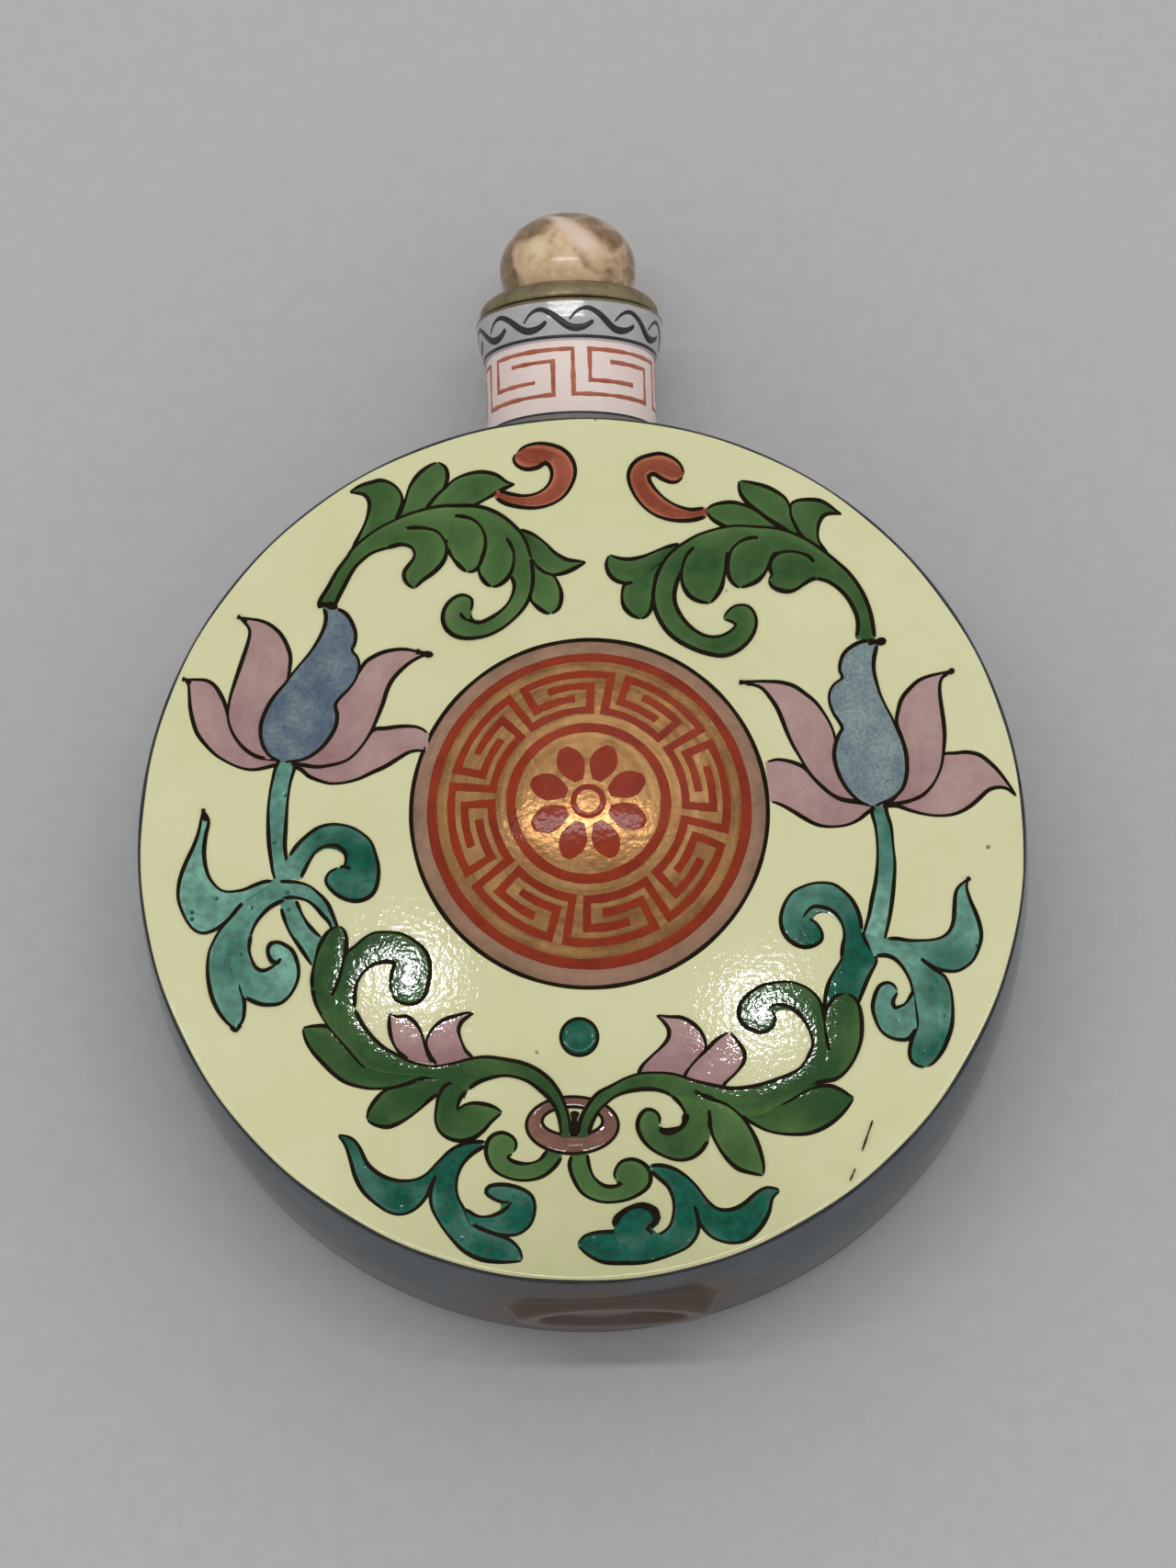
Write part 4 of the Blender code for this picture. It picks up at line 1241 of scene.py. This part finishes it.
def unsteady(count, share, seed):
    """Widths close to 1 that waver as a hand does: three slow sines whose phases come from the seed."""
    t = np.linspace(0, 1, count)
    wave = sum(np.sin(2 * math.pi * (waves * t + phase * seed)) for waves, phase in WAVER_SINES)
    return 1 + share * wave / len(WAVER_SINES)


def key_widths(count, width, share, seed):
    """Half widths of a key stroke: half its width, unsteady, and nothing at its two ends."""
    half = 0.5 * width * unsteady(count, share, seed)
    half[[0, -1]] = 0
    return half


def gilt_disc(radius, place, lift, segments=160, rings=24):
    """A disc of gilding round the roundel's centre: rings from the middle to the radius, the last sunk."""
    reach = np.concatenate([[0.0], np.linspace(0.0, radius, rings), [radius]])
    flat = BOSS_CENTRE + rays(segments)[:, None] * reach[:, None]
    height = np.full(flat.shape[:2], lift)
    height[:, -1] = -SINK
    return sheet(place(flat, height), wrap=(True, False), flip=True)


def rosette_petal(turn, count=16):
    """Two sides of a petal: an angle that swells as a half sine, over radii from its root to its tip."""
    t = np.linspace(0, 1, count)
    reach = BOSS_RADIUS * (ROSETTE_ROOT + (ROSETTE_TIP - ROSETTE_ROOT) * t)
    swell = np.sin(math.pi * (ROSETTE_START + (1 - ROSETTE_START) * t))
    spread = math.radians(ROSETTE_SPREAD) * np.maximum(swell, 0)**ROSETTE_FULLNESS
    spread[-1] = 0
    return [BOSS_CENTRE + reach[:, None] * np.stack([np.cos(angle), np.sin(angle)], -1)
            for angle in (turn + spread, turn - spread)]


def paint_roundel(place, prefix):
    """A gilt field with the red fret on it, between two border rings, round a rosette of red petals."""
    red = []
    middle = BOSS_RADIUS * (KEY_FOOT + KEY_HEAD) / 2
    spans = np.array([2 * math.pi * middle / KEY_UNITS, BOSS_RADIUS * (KEY_HEAD - KEY_FOOT)])
    corners = straight_route(np.array(BOSS_STROKE) * spans, *BOSS_STROKE_STEPS) / spans
    for unit in range(KEY_UNITS):
        turn = np.radians(KEY_START + (unit + corners[:, 0]) * 360 / KEY_UNITS)
        reach = BOSS_RADIUS * (KEY_FOOT + corners[:, 1] * (KEY_HEAD - KEY_FOOT))
        path = BOSS_CENTRE + reach[:, None] * np.stack([np.sin(turn), np.cos(turn)], -1)
        half = key_widths(len(path), KEY_RED_WIDTH, KEY_WAVER, unit)
        red.append(ribbon(path, half, place, KEY_LIFT + KEY_LIFT_STEP * unit))
    for ring in KEY_RINGS:
        path = circle_route(BOSS_RADIUS * ring, RING_POINTS, BOSS_CENTRE)
        half = 0.5 * RING_RED_WIDTH * unsteady(len(path), RING_WAVER, ring)
        red.append(ribbon(path, half, place, RED_LIFT, closed=True))
    for petal in range(ROSETTE_PETALS):
        a, b = rosette_petal(2 * math.pi * (petal + 0.5) / ROSETTE_PETALS)
        red.append(lobe(a, b, place, RED_LIFT, PAINT_SHADE))
    red.append(blob(BOSS_CENTRE, BUTTON_RADII, place, BUTTON_LIFT, PAINT_SHADE))
    gilt = [gilt_disc(BOSS_RADIUS * KEY_RINGS[0], place, GILT_LIFT),
            blob(BOSS_CENTRE, BUTTON_GILT_RADII, place, BUTTON_GILT_LIFT, PAINT_SHADE)]
    border = circle_route(BOSS_RADIUS + BORDER_OFFSET, BORDER_POINTS, BOSS_CENTRE)
    half = 0.5 * BORDER_WIDTH * unsteady(len(border), BORDER_WAVER, BORDER_SEED)
    line = ribbon(border, half, place, BORDER_LIFT, closed=True)
    piece(prefix + "_roundel_gilt", gilt, BOSS_GOLD, "bottle", sharp=PAINT_SHARP)
    piece(prefix + "_roundel_red", red, BOSS_RED, "bottle", sharp=PAINT_SHARP)
    piece(prefix + "_roundel_ring", [line], INK, "bottle", sharp=PAINT_SHARP)


def wall_radius(z):
    """The side wall's radius at a height: the face radius plus a shallow parabola, fullest half way."""
    return FACE_RADIUS + WALL_BULGE * (1 - (2 * z / FLASK_DEPTH - 1)**2)


# Each face's paint runs over the start of the edge's quarter round, and the wall's glaze takes the rest.
EDGE_START = wall_radius(EDGE_ROUND) - EDGE_ROUND
PAINT_BEND = 36.0
RIM_BENDS = (29.0, 82.0)
RIM_WAVER = 0.2
RIM_SEED = 5
BEND_STEPS = 6
RIM_SHARES = np.array([0.0, 0.0, 0.15, 0.4, 0.65, 0.9, 1.0, 1.0])
RIM_HEIGHTS = np.array([-SINK, 0.008, 0.015, 0.018, 0.018, 0.015, 0.008, -SINK])
# Shares of a face's spokes, and where and over what share the face rises to its rim.
SPOKE_SHARES = np.concatenate([np.linspace(0, 0.985, 24), [0.996, 1.0]])
RISE_START = 0.93
RISE_SHARE = 0.07
BORE_WINDOW = 3.3


def face_sheet(inner_radius, level, sign, segments=240):
    """A face: straight spokes from the roundel's circle to the edge, which then begins its quarter round."""
    ray = rays(segments)
    start = np.array([sign * BOSS_X, BOSS_Y]) + inner_radius * ray
    s = SPOKE_SHARES[:, None]
    flat = start[:, None] * (1 - s) + EDGE_START * ray[:, None] * s
    rim = FLASK_DEPTH if sign > 0 else 0.0
    height = level + (rim - level) * np.clip((SPOKE_SHARES - RISE_START) / RISE_SHARE, 0, 1)
    bend = np.radians(np.linspace(0, PAINT_BEND, BEND_STEPS))[1:]
    flat = np.concatenate([flat, ray[:, None] * (EDGE_START + EDGE_ROUND * np.sin(bend))[:, None]], 1)
    height = np.concatenate([height, rim - sign * EDGE_ROUND * (1 - np.cos(bend))])
    grid = np.concatenate([flat, np.broadcast_to(height[:, None], flat.shape[:2] + (1,))], -1)
    return sheet(grid, wrap=(True, False), flip=sign > 0)


def dome_sheet(segments=160, rings=40):
    """The boss: rings of the spherical cap round its own centre."""
    reach = BOSS_RADIUS * np.linspace(0, 1, rings)
    flat = BOSS_CENTRE + rays(segments)[:, None] * reach[:, None]
    return sheet(front_place(flat, 0.0), wrap=(True, False), flip=True)


def flat_disc_sheet(radius, z, segments=160, rings=8):
    """A flat round ground on the back: rings round the roundel's centre at one height."""
    reach = radius * np.linspace(0, 1, rings)
    flat = np.array([-BOSS_X, BOSS_Y]) + rays(segments)[:, None] * reach[:, None]
    grid = np.concatenate([flat, np.full(flat.shape[:2] + (1,), z)], -1)
    return sheet(grid, wrap=(True, False))


def wall_sheet(segments=288, rows=9):
    """The side wall: a quarter round at each edge and the barrel between, with a window for the bore."""
    turn = np.linspace(0, 2 * math.pi, segments, endpoint=False)
    stops = (EDGE_ROUND, AXIS_Z - BORE_WINDOW, AXIS_Z + BORE_WINDOW, FLASK_DEPTH - EDGE_ROUND)
    z = np.unique(np.concatenate([np.linspace(low, high, rows) for low, high in zip(stops[:-1], stops[1:])]))
    radius = wall_radius(z)
    bend = np.radians(np.linspace(PAINT_BEND, 90, BEND_STEPS))[:-1]
    edge = EDGE_START + EDGE_ROUND * np.sin(bend)
    rise = EDGE_ROUND * (1 - np.cos(bend))
    z = np.concatenate([rise, z, FLASK_DEPTH - rise[::-1]])
    radius = np.concatenate([edge, radius, edge[::-1]])
    grid = np.stack([np.cos(turn)[:, None] * radius, np.sin(turn)[:, None] * radius,
                     np.broadcast_to(z, (segments, len(z)))], -1)
    mid_x = FACE_RADIUS * np.cos(turn + math.pi / segments)
    mid_y = np.sin(turn + math.pi / segments)
    mid_z = (z[1:] + z[:-1]) / 2
    over = (np.abs(mid_x) < BORE_WINDOW) & (mid_y > 0)
    bore = over[:, None] & (np.abs(mid_z - AXIS_Z) < BORE_WINDOW)
    return sheet(grid, wrap=(True, False), keep=~bore)


front_face = piece("front_face", [face_sheet(BOSS_RADIUS, FLASK_DEPTH, 1)], LEMON, "bottle",
                   thickness=PORCELAIN, lining=CLAY)
piece("boss_dome", [dome_sheet()], BOSS_GROUND, "bottle", thickness=PORCELAIN, lining=CLAY)
piece("back_face", [face_sheet(BOSS_RADIUS, BACK_RECESS, -1)], LEMON, "bottle",
      thickness=PORCELAIN, lining=CLAY)
piece("back_roundel_ground", [flat_disc_sheet(BOSS_RADIUS, BACK_RECESS)], BOSS_GROUND, "bottle",
      thickness=PORCELAIN, lining=CLAY)
side_wall = piece("side_wall", [wall_sheet()], WALL_BLUE, "bottle", thickness=PORCELAIN,
                  lining=CLAY)
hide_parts("body_front")
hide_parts("body_back")

paint_scroll(front_place, "front")
paint_scroll(back_place, "back")
paint_roundel(front_place, "front")
paint_roundel(back_place, "back")


def rim_line(level, sign, segments=288):
    """A dark line on a face's edge: an arc just above the edge's quarter round, its inner end unsteady."""
    turn = np.linspace(0, 2 * math.pi, segments, endpoint=False)[:, None]
    first = RIM_BENDS[1] - (RIM_BENDS[1] - RIM_BENDS[0]) * unsteady(segments, RIM_WAVER, RIM_SEED)[:, None]
    bend = np.radians(first + (RIM_BENDS[1] - first) * RIM_SHARES)
    ball = EDGE_ROUND + RIM_HEIGHTS
    reach = EDGE_START + ball * np.sin(bend)
    grid = np.stack([np.cos(turn) * reach, np.sin(turn) * reach,
                     level - sign * (EDGE_ROUND - ball * np.cos(bend))], -1)
    return sheet(grid, wrap=(True, False), flip=sign > 0)


piece("rim_lines", [rim_line(FLASK_DEPTH, 1), rim_line(0.0, -1)], LIP_INK, "bottle")

# The neck and lip: radius and height of each outline, and the heights of the painted bands.
LIP_EDGE = 32.92
LIP_FOOT_RADIUS = 4.98
LIP_STEP = 0.05
LIP_POINTS = 48
NECK_OUTLINE = ((BORE_RADIUS, BORE_END), (NECK_RADIUS, NECK_SUNK), (NECK_RADIUS, NECK_SUNK + 0.1),
                (NECK_RADIUS, LIP_BASE - 0.15), (NECK_RADIUS, LIP_BASE - 0.05),
                (BORE_RADIUS, LIP_BASE + 0.2))
LIP_KNOTS = ((LIP_FOOT_RADIUS, LIP_BASE - LIP_STEP), (5.15, 31.25), (5.275, 31.8), (5.335, 32.3),
             (5.38, 32.72), (LIP_RADIUS, LIP_EDGE), (5.35, 33.03), (5.15, LIP_TOP))
NECK_LINE = 26.30
NECK_LINE_WIDTH = 0.18
LIP_LINE = LIP_BASE + 0.12
LIP_LINE_WIDTH = 0.23
GILT_FOOT = 32.86
GILT_THICK = 0.012
GILT_SUNK = 0.03
GILT_INNER = BORE_RADIUS + 0.2
ROOT_FOOT = 24.9
ROOT_RADIUS = NECK_RADIUS + 0.012
ROOT_INNER = NECK_RADIUS - 0.1
PAINT_LIFT = 0.015
BAND_ACROSS = np.array([-1.0, -0.7, 0.0, 0.7, 1.0])
BAND_HEIGHTS = np.array([-SINK, PAINT_LIFT, 0.02, PAINT_LIFT, -SINK])

neck = piece("neck_tube", [turned(np.array(NECK_OUTLINE), closed=True)], NECK_WHITE, "bottle",
             sharp=FORM_SHARP)
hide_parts("neck")
lip_side = smooth_route(np.array(LIP_KNOTS), LIP_POINTS)
lip_outline = np.vstack([[(BORE_RADIUS, LIP_BASE - LIP_STEP)], lip_side, [(BORE_RADIUS, LIP_TOP)]])
piece("lip_ring", [turned(lip_outline, closed=True)], LIP_GREY, "bottle",
      sharp=FORM_SHARP)


def neck_radius(y):
    """The neck's radius, the same at every height."""
    return NECK_RADIUS + 0 * y


def lip_radius(y):
    """The lip's radius along its side, read from its outline."""
    return np.interp(y, lip_side[:, 1], lip_side[:, 0])


neck_place = round_place(neck_radius)
lip_place = round_place(lip_radius)


def round_ribbon(path, half_width, place, radius):
    """A painted line on a turned surface: worked out flat, in millimetres of arc, and then wrapped round."""
    scale = 180 / (math.pi * radius)

    def wrapped(flat, height):
        """Arc lengths turned to degrees and placed."""
        return place(flat * (scale, 1), height)

    return ribbon(path / (scale, 1), half_width, wrapped, PAINT_LIFT)


def painted_ring(level, width, place, segments=192):
    """A painted ring round a turned surface: five circles across its width, the outer two sunk."""
    turn = np.linspace(0, 360, segments + 1)[:-1]
    spot = np.stack(np.broadcast_arrays(turn[:, None], level + BAND_ACROSS * width / 2), -1)
    return sheet(place(spot, np.broadcast_to(BAND_HEIGHTS, spot.shape[:2])), wrap=(True, False))


# The neck's fret, drawn like the roundel's, and the wave on the lip, whose knots are in waves and in shares
# of its height.
FRET_UNITS = 5
FRET_START = 2.7
FRET_FOOT = 27.4
FRET_HEAD = 30.1
FRET_WIDTH = 0.27
FRET_WAVER = 0.3
FRET_STROKE = ((0.64, 0.31), (0.16, 0.31), (0.16, 1.0), (1.0, 1.0), (1.0, 0.0), (1.81, 0.0), (1.81, 0.745),
               (1.355, 0.745))
FRET_STROKE_STEPS = (0.25, 0.3, 0.1)
WAVES = 12
WAVE_POINTS = 30
WAVE_KNOTS = np.array([(0.0, 0.42), (0.2, 0.78), (0.42, 0.9), (0.66, 0.72), (0.95, 0.32), (1.15, 0.2),
                       (1.38, 0.27), (1.58, 0.5)])
WAVE_FOOT = 30.95
WAVE_HEAD = 32.6
WAVE_WIDTHS = (0.10, 0.28, 0.42, 0.46, 0.24)

fret = []
fret_spans = np.array([2 * math.pi * NECK_RADIUS / FRET_UNITS, FRET_HEAD - FRET_FOOT])
fret_corners = straight_route(np.array(FRET_STROKE) * fret_spans, *FRET_STROKE_STEPS) / fret_spans
for unit in range(FRET_UNITS):
    angle = FRET_START + (unit + fret_corners[:, 0]) * 360 / FRET_UNITS
    height = FRET_FOOT + fret_corners[:, 1] * (FRET_HEAD - FRET_FOOT)
    half = key_widths(len(angle), FRET_WIDTH, FRET_WAVER, unit)
    fret.append(round_ribbon(np.stack([angle, height], -1), half, neck_place, NECK_RADIUS))
piece("neck_fret", fret, FRET_RED, "bottle")

waves = []
wave_half = 0.5 * np.interp(np.linspace(0, 1, WAVE_POINTS), np.linspace(0, 1, len(WAVE_WIDTHS)), WAVE_WIDTHS)
wave_half[[0, -1]] = 0
for wave in range(WAVES):
    angle = (wave + WAVE_KNOTS[:, 0]) * 360 / WAVES
    height = WAVE_FOOT + WAVE_KNOTS[:, 1] * (WAVE_HEAD - WAVE_FOOT)
    path = smooth_route(np.stack([angle, height], -1), WAVE_POINTS)
    waves.append(round_ribbon(path, wave_half, lip_place, LIP_RADIUS))
waves.append(painted_ring(LIP_LINE, LIP_LINE_WIDTH, lip_place))
waves.append(painted_ring(NECK_LINE, NECK_LINE_WIDTH, neck_place))
piece("neck_and_lip_lines", waves, LIP_INK, "bottle")
root_outline = np.array([(ROOT_INNER, ROOT_FOOT), (ROOT_RADIUS, ROOT_FOOT), (ROOT_RADIUS, NECK_LINE),
                         (ROOT_INNER, NECK_LINE)])
piece("neck_root_band", [turned(root_outline, closed=True)], ROOT_GREY, "bottle",
      sharp=FORM_SHARP)
gilt_edge = lip_side[lip_side[:, 1] > GILT_FOOT]
gilt_step = np.gradient(gilt_edge, axis=0)
gilt_out = np.stack([gilt_step[:, 1], -gilt_step[:, 0]], -1) / np.linalg.norm(gilt_step, axis=1)[:, None]
gilt_outline = np.vstack([gilt_edge + GILT_THICK * gilt_out, [(GILT_INNER, LIP_TOP + GILT_THICK)],
                          [(GILT_INNER, LIP_TOP - GILT_SUNK)], (gilt_edge - GILT_SUNK * gilt_out)[::-1]])
piece("lip_gilding", [turned(gilt_outline, closed=True)], LIP_GILT, "bottle",
      sharp=FORM_SHARP)

# The foot: each ring's inset from the oval, and its share of the way from the wall to the flat base.
FOOT_INSETS = np.array([-0.9, -0.75, -0.5, -0.3, -0.1, 0.1, 0.3, 0.7, 1.1, 1.3, 1.5, 1.7, 1.9, 2.05])
FOOT_RISES = np.array([0.0, 0.0, 0.1, 0.3, 0.65, 0.92, 1.0, 1.0, 1.0, 0.92, 0.6, 0.25, 0.0, 0.0])
FOOT_OVAL = np.array([FOOT_WIDTH, FOOT_THICKNESS]) / 2
FLOOR_OVERLAP = 0.2
FLOOR_LIFT = 0.03


def foot_rings(radii, segments=128):
    """Ovals round the foot's middle, as x and z: even directions times the two radii of each ring."""
    flat = rays(segments)[:, None, ::-1] * radii
    return FOOT_X + flat[..., 0], AXIS_Z + flat[..., 1]


def foot_sheet():
    """The foot: an oval carried inwards by the insets, each ring a share of the way from wall to base."""
    x, z = foot_rings(FOOT_OVAL - FOOT_INSETS[:, None])
    wall = -np.sqrt(wall_radius(z)**2 - x**2)
    low = -(FACE_RADIUS + WALL_BULGE + FOOT_HEIGHT)
    y = wall + FOOT_RISES * (low - wall)
    y[:, [0, -1]] += 2 * SINK
    return sheet(np.stack([x, y, z], -1), wrap=(True, True), flip=True)


def foot_floor(rings=10):
    """The painted recess inside the foot: rings of the same oval laid on the wall, a hair above it."""
    x, z = foot_rings((FOOT_OVAL - FOOT_WALL + FLOOR_OVERLAP) * np.linspace(0, 1, rings)[:, None])
    y = -np.sqrt(np.maximum((wall_radius(z) + FLOOR_LIFT)**2 - x**2, 0))
    return sheet(np.stack([x, y, z], -1), wrap=(True, False))


foot = piece("foot_rim", [foot_sheet(), foot_floor()], FOOT_GLAZE, "bottle",
             sharp=FORM_SHARP)
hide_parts("foot_ring")

# The stopper: collar, stone, cork and spoon.
COLLAR_CHAMFER = 0.08
CORK_TOP = 33.10
CORK_BASE = 26.10
CORK_TOP_RADIUS = 2.98
CORK_BASE_RADIUS = 2.78
CORK_CHAMFER = 0.4
CORK_ROUND = 0.15
STONE_SHARP = 60
STEM_RADIUS = 0.55
STEM_TOP = 36.60
SPOON_TIP = -18.80
BOWL_LENGTH = 6.0
BOWL_WIDTH = 3.4
BOWL_DEPTH = 0.75
BOWL_RIM = 0.35
BOWL_LIP = ((0.97, 0.10), (0.90, 0.14))
SCOOP_RISE = 0.12
SCOOP_DEPTH = 0.72
STEM_FOOT = SPOON_TIP + 0.8 * BOWL_LENGTH
STEM_OUTLINE = ((0.0, STEM_FOOT), (0.25, STEM_FOOT), (STEM_RADIUS - 0.05, STEM_FOOT + 1.2),
                (STEM_RADIUS, STEM_FOOT + 3.0), (STEM_RADIUS, STEM_TOP), (0.0, STEM_TOP))


def collar_outline():
    """The brass flange: an upright edge, then a quarter ellipse that rises to the stone's base."""
    turn = np.radians(np.linspace(0, 90, 20))
    rise = COLLAR_TOP - COLLAR_BASE - COLLAR_EDGE
    bend = np.stack([COLLAR_TOP_RADIUS + (COLLAR_RADIUS - COLLAR_TOP_RADIUS) * np.cos(turn),
                     COLLAR_BASE + COLLAR_EDGE + rise * np.sin(turn)], -1)
    base = [(0.0, COLLAR_BASE), (COLLAR_RADIUS - COLLAR_CHAMFER, COLLAR_BASE),
            (COLLAR_RADIUS, COLLAR_BASE + COLLAR_CHAMFER)]
    return np.vstack([base, bend, [(0.0, COLLAR_TOP)]])


def finial_outline():
    """The stone's outline: nearly upright below its belly, as a parabola, and a quarter ellipse above it."""
    low = np.linspace(1, 0, 14)
    below = np.stack([FINIAL_RADIUS - (FINIAL_RADIUS - FINIAL_FOOT_RADIUS) * low**2,
                      FINIAL_BELLY - (FINIAL_BELLY - FINIAL_BASE) * low], -1)
    high = np.radians(np.linspace(0, 90, 36))[1:]
    above = np.stack([FINIAL_RADIUS * np.cos(high),
                      FINIAL_BELLY + (FINIAL_TOP - FINIAL_BELLY) * np.sin(high)], -1)
    above[-1, 0] = 0
    return np.vstack([[(0.0, FINIAL_BASE)], below, above])


def spoon_bowl(segments=64):
    """The bowl: a half ellipsoid from its back round the rim into a shallower scoop, round an oval."""
    ray = rays(segments)[:, None]
    out = np.radians(np.linspace(0, 90, 12))
    back = np.stack([np.sin(out), -np.cos(out)], -1)
    scoop_share = 1 - 2 * BOWL_RIM / BOWL_WIDTH
    scoop = np.stack([scoop_share * np.sin(out[::-1]), SCOOP_RISE - SCOOP_DEPTH * np.cos(out[::-1])], -1)
    reach, height = np.vstack([back, BOWL_LIP, scoop]).T
    grid = np.stack([BOWL_WIDTH / 2 * ray[..., 0] * reach,
                     SPOON_TIP + BOWL_LENGTH / 2 + BOWL_LENGTH / 2 * ray[..., 1] * reach,
                     np.broadcast_to(AXIS_Z + BOWL_DEPTH * height, (segments, len(height)))], -1)
    return sheet(grid, wrap=(True, False))


collar = piece("collar_flange", [turned(collar_outline())], BRASS, "stopper", sharp=FORM_SHARP)
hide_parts("collar")
finial = piece("finial_stone", [turned(finial_outline())], STONE, "stopper",
               sharp=STONE_SHARP)
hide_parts("finial")
cork_outline = rounded(np.array([(0.0, CORK_BASE), (CORK_BASE_RADIUS - CORK_CHAMFER, CORK_BASE),
                                 (CORK_BASE_RADIUS, CORK_BASE + CORK_CHAMFER), (CORK_TOP_RADIUS, CORK_TOP),
                                 (0.0, CORK_TOP)]), CORK_ROUND)
cork = piece("cork_plug", [turned(cork_outline, 96)], CORK, "stopper", sharp=FORM_SHARP)
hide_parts("cork")
spoon = piece("spoon_blade", [turned(np.array(STEM_OUTLINE), 32), spoon_bowl()], BAMBOO, "stopper",
              sharp=FORM_SHARP)
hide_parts("spoon")

# Floor, light and camera.
FLOOR_HALF = 3.0
GLINT_DISTANCE = 500.0
GLINT_SIZE = 0.005
GLINT_POWER = 0.012
LEFT_GLINT_PIXEL = (446, 1058)
RIGHT_GLINT_PIXEL = (826, 1098)
SKY_COLOUR = (0.66, 0.665, 0.68, 1)
SKY_STRENGTH = 0.8
STEEP = 0.9
NEAREST = 0.01

floor_mesh = bpy.data.meshes.new("floor")
floor_mesh.from_pydata([(-FLOOR_HALF, -FLOOR_HALF, 0), (FLOOR_HALF, -FLOOR_HALF, 0),
                        (FLOOR_HALF, FLOOR_HALF, 0), (-FLOOR_HALF, FLOOR_HALF, 0)], [], [(0, 1, 2, 3)])
floor_mesh.materials.append(enamel("floor_paper", (198, 197, 196), (191, 190, 189), scale=900, contrast=1.5,
                                   roughness=0.6, specular=0.2))
floor = bpy.data.objects.new("floor", floor_mesh)
bpy.context.scene.collection.objects.link(floor)


def placing(spot, side, up, ahead):
    """The matrix that sets a lamp or camera at a spot: its axes are side, up and backwards."""
    matrix = np.eye(4)
    matrix[:3, :3] = np.stack([side, up, -ahead], 1)
    matrix[:3, 3] = spot
    return Matrix(matrix.tolist())


def lamp(name, place, target, width, depth, power):
    """A soft rectangular lamp at a place, turned to its target."""
    data = bpy.data.lights.new(name, "AREA")
    data.shape = "RECTANGLE"
    data.size = width
    data.size_y = depth
    data.energy = power
    item = bpy.data.objects.new(name, data)
    bpy.context.scene.collection.objects.link(item)
    ahead = np.array(target, float) - np.array(place, float)
    ahead = ahead / np.linalg.norm(ahead)
    side = np.cross(ahead, [0.0, 1.0, 0.0] if abs(ahead[1]) < STEEP else [1.0, 0.0, 0.0])
    side = side / np.linalg.norm(side)
    item.matrix_world = placing(place, side, np.cross(side, ahead), ahead)


def glint(name, pixel):
    """A small lamp whose mirror image in the flat face falls on a pixel: the eye's ray, turned back."""
    spot = on_face(np.array([pixel], float))[0]
    point = np.array([spot[0], spot[1], FLASK_DEPTH])
    ray = point - EYE
    ray = ray / np.linalg.norm(ray) * (1, 1, -1)
    lamp(name, (point + GLINT_DISTANCE * ray) * MM, point * MM, GLINT_SIZE, GLINT_SIZE, GLINT_POWER)


lamp("key", place=(0.2, 0.5, 0.88), target=(0, 0, 0.01), width=1.2, depth=1.0, power=1.4)
lamp("strip", place=(-0.05, 0.09, 1.0), target=(0, 0, 0.02), width=0.8, depth=0.03, power=1.8)
glint("left_glint", LEFT_GLINT_PIXEL)
glint("right_glint", RIGHT_GLINT_PIXEL)
world = bpy.data.worlds.new("studio")
bpy.context.scene.world = world
world.use_nodes = True
world.node_tree.nodes["Background"].inputs[0].default_value = SKY_COLOUR
world.node_tree.nodes["Background"].inputs[1].default_value = SKY_STRENGTH

camera_data = bpy.data.cameras.new("camera")
camera_data.sensor_fit = "HORIZONTAL"
camera_data.sensor_width = SENSOR
camera_data.lens = FOCAL * SENSOR / PHOTO_WIDTH
camera_data.clip_start = NEAREST
camera = bpy.data.objects.new("camera", camera_data)
bpy.context.scene.collection.objects.link(camera)
camera.matrix_world = placing(EYE * MM, EYE_RIGHT, EYE_UP, EYE_AHEAD)
bpy.context.scene.camera = camera
bpy.context.scene.view_settings.view_transform = "Standard"
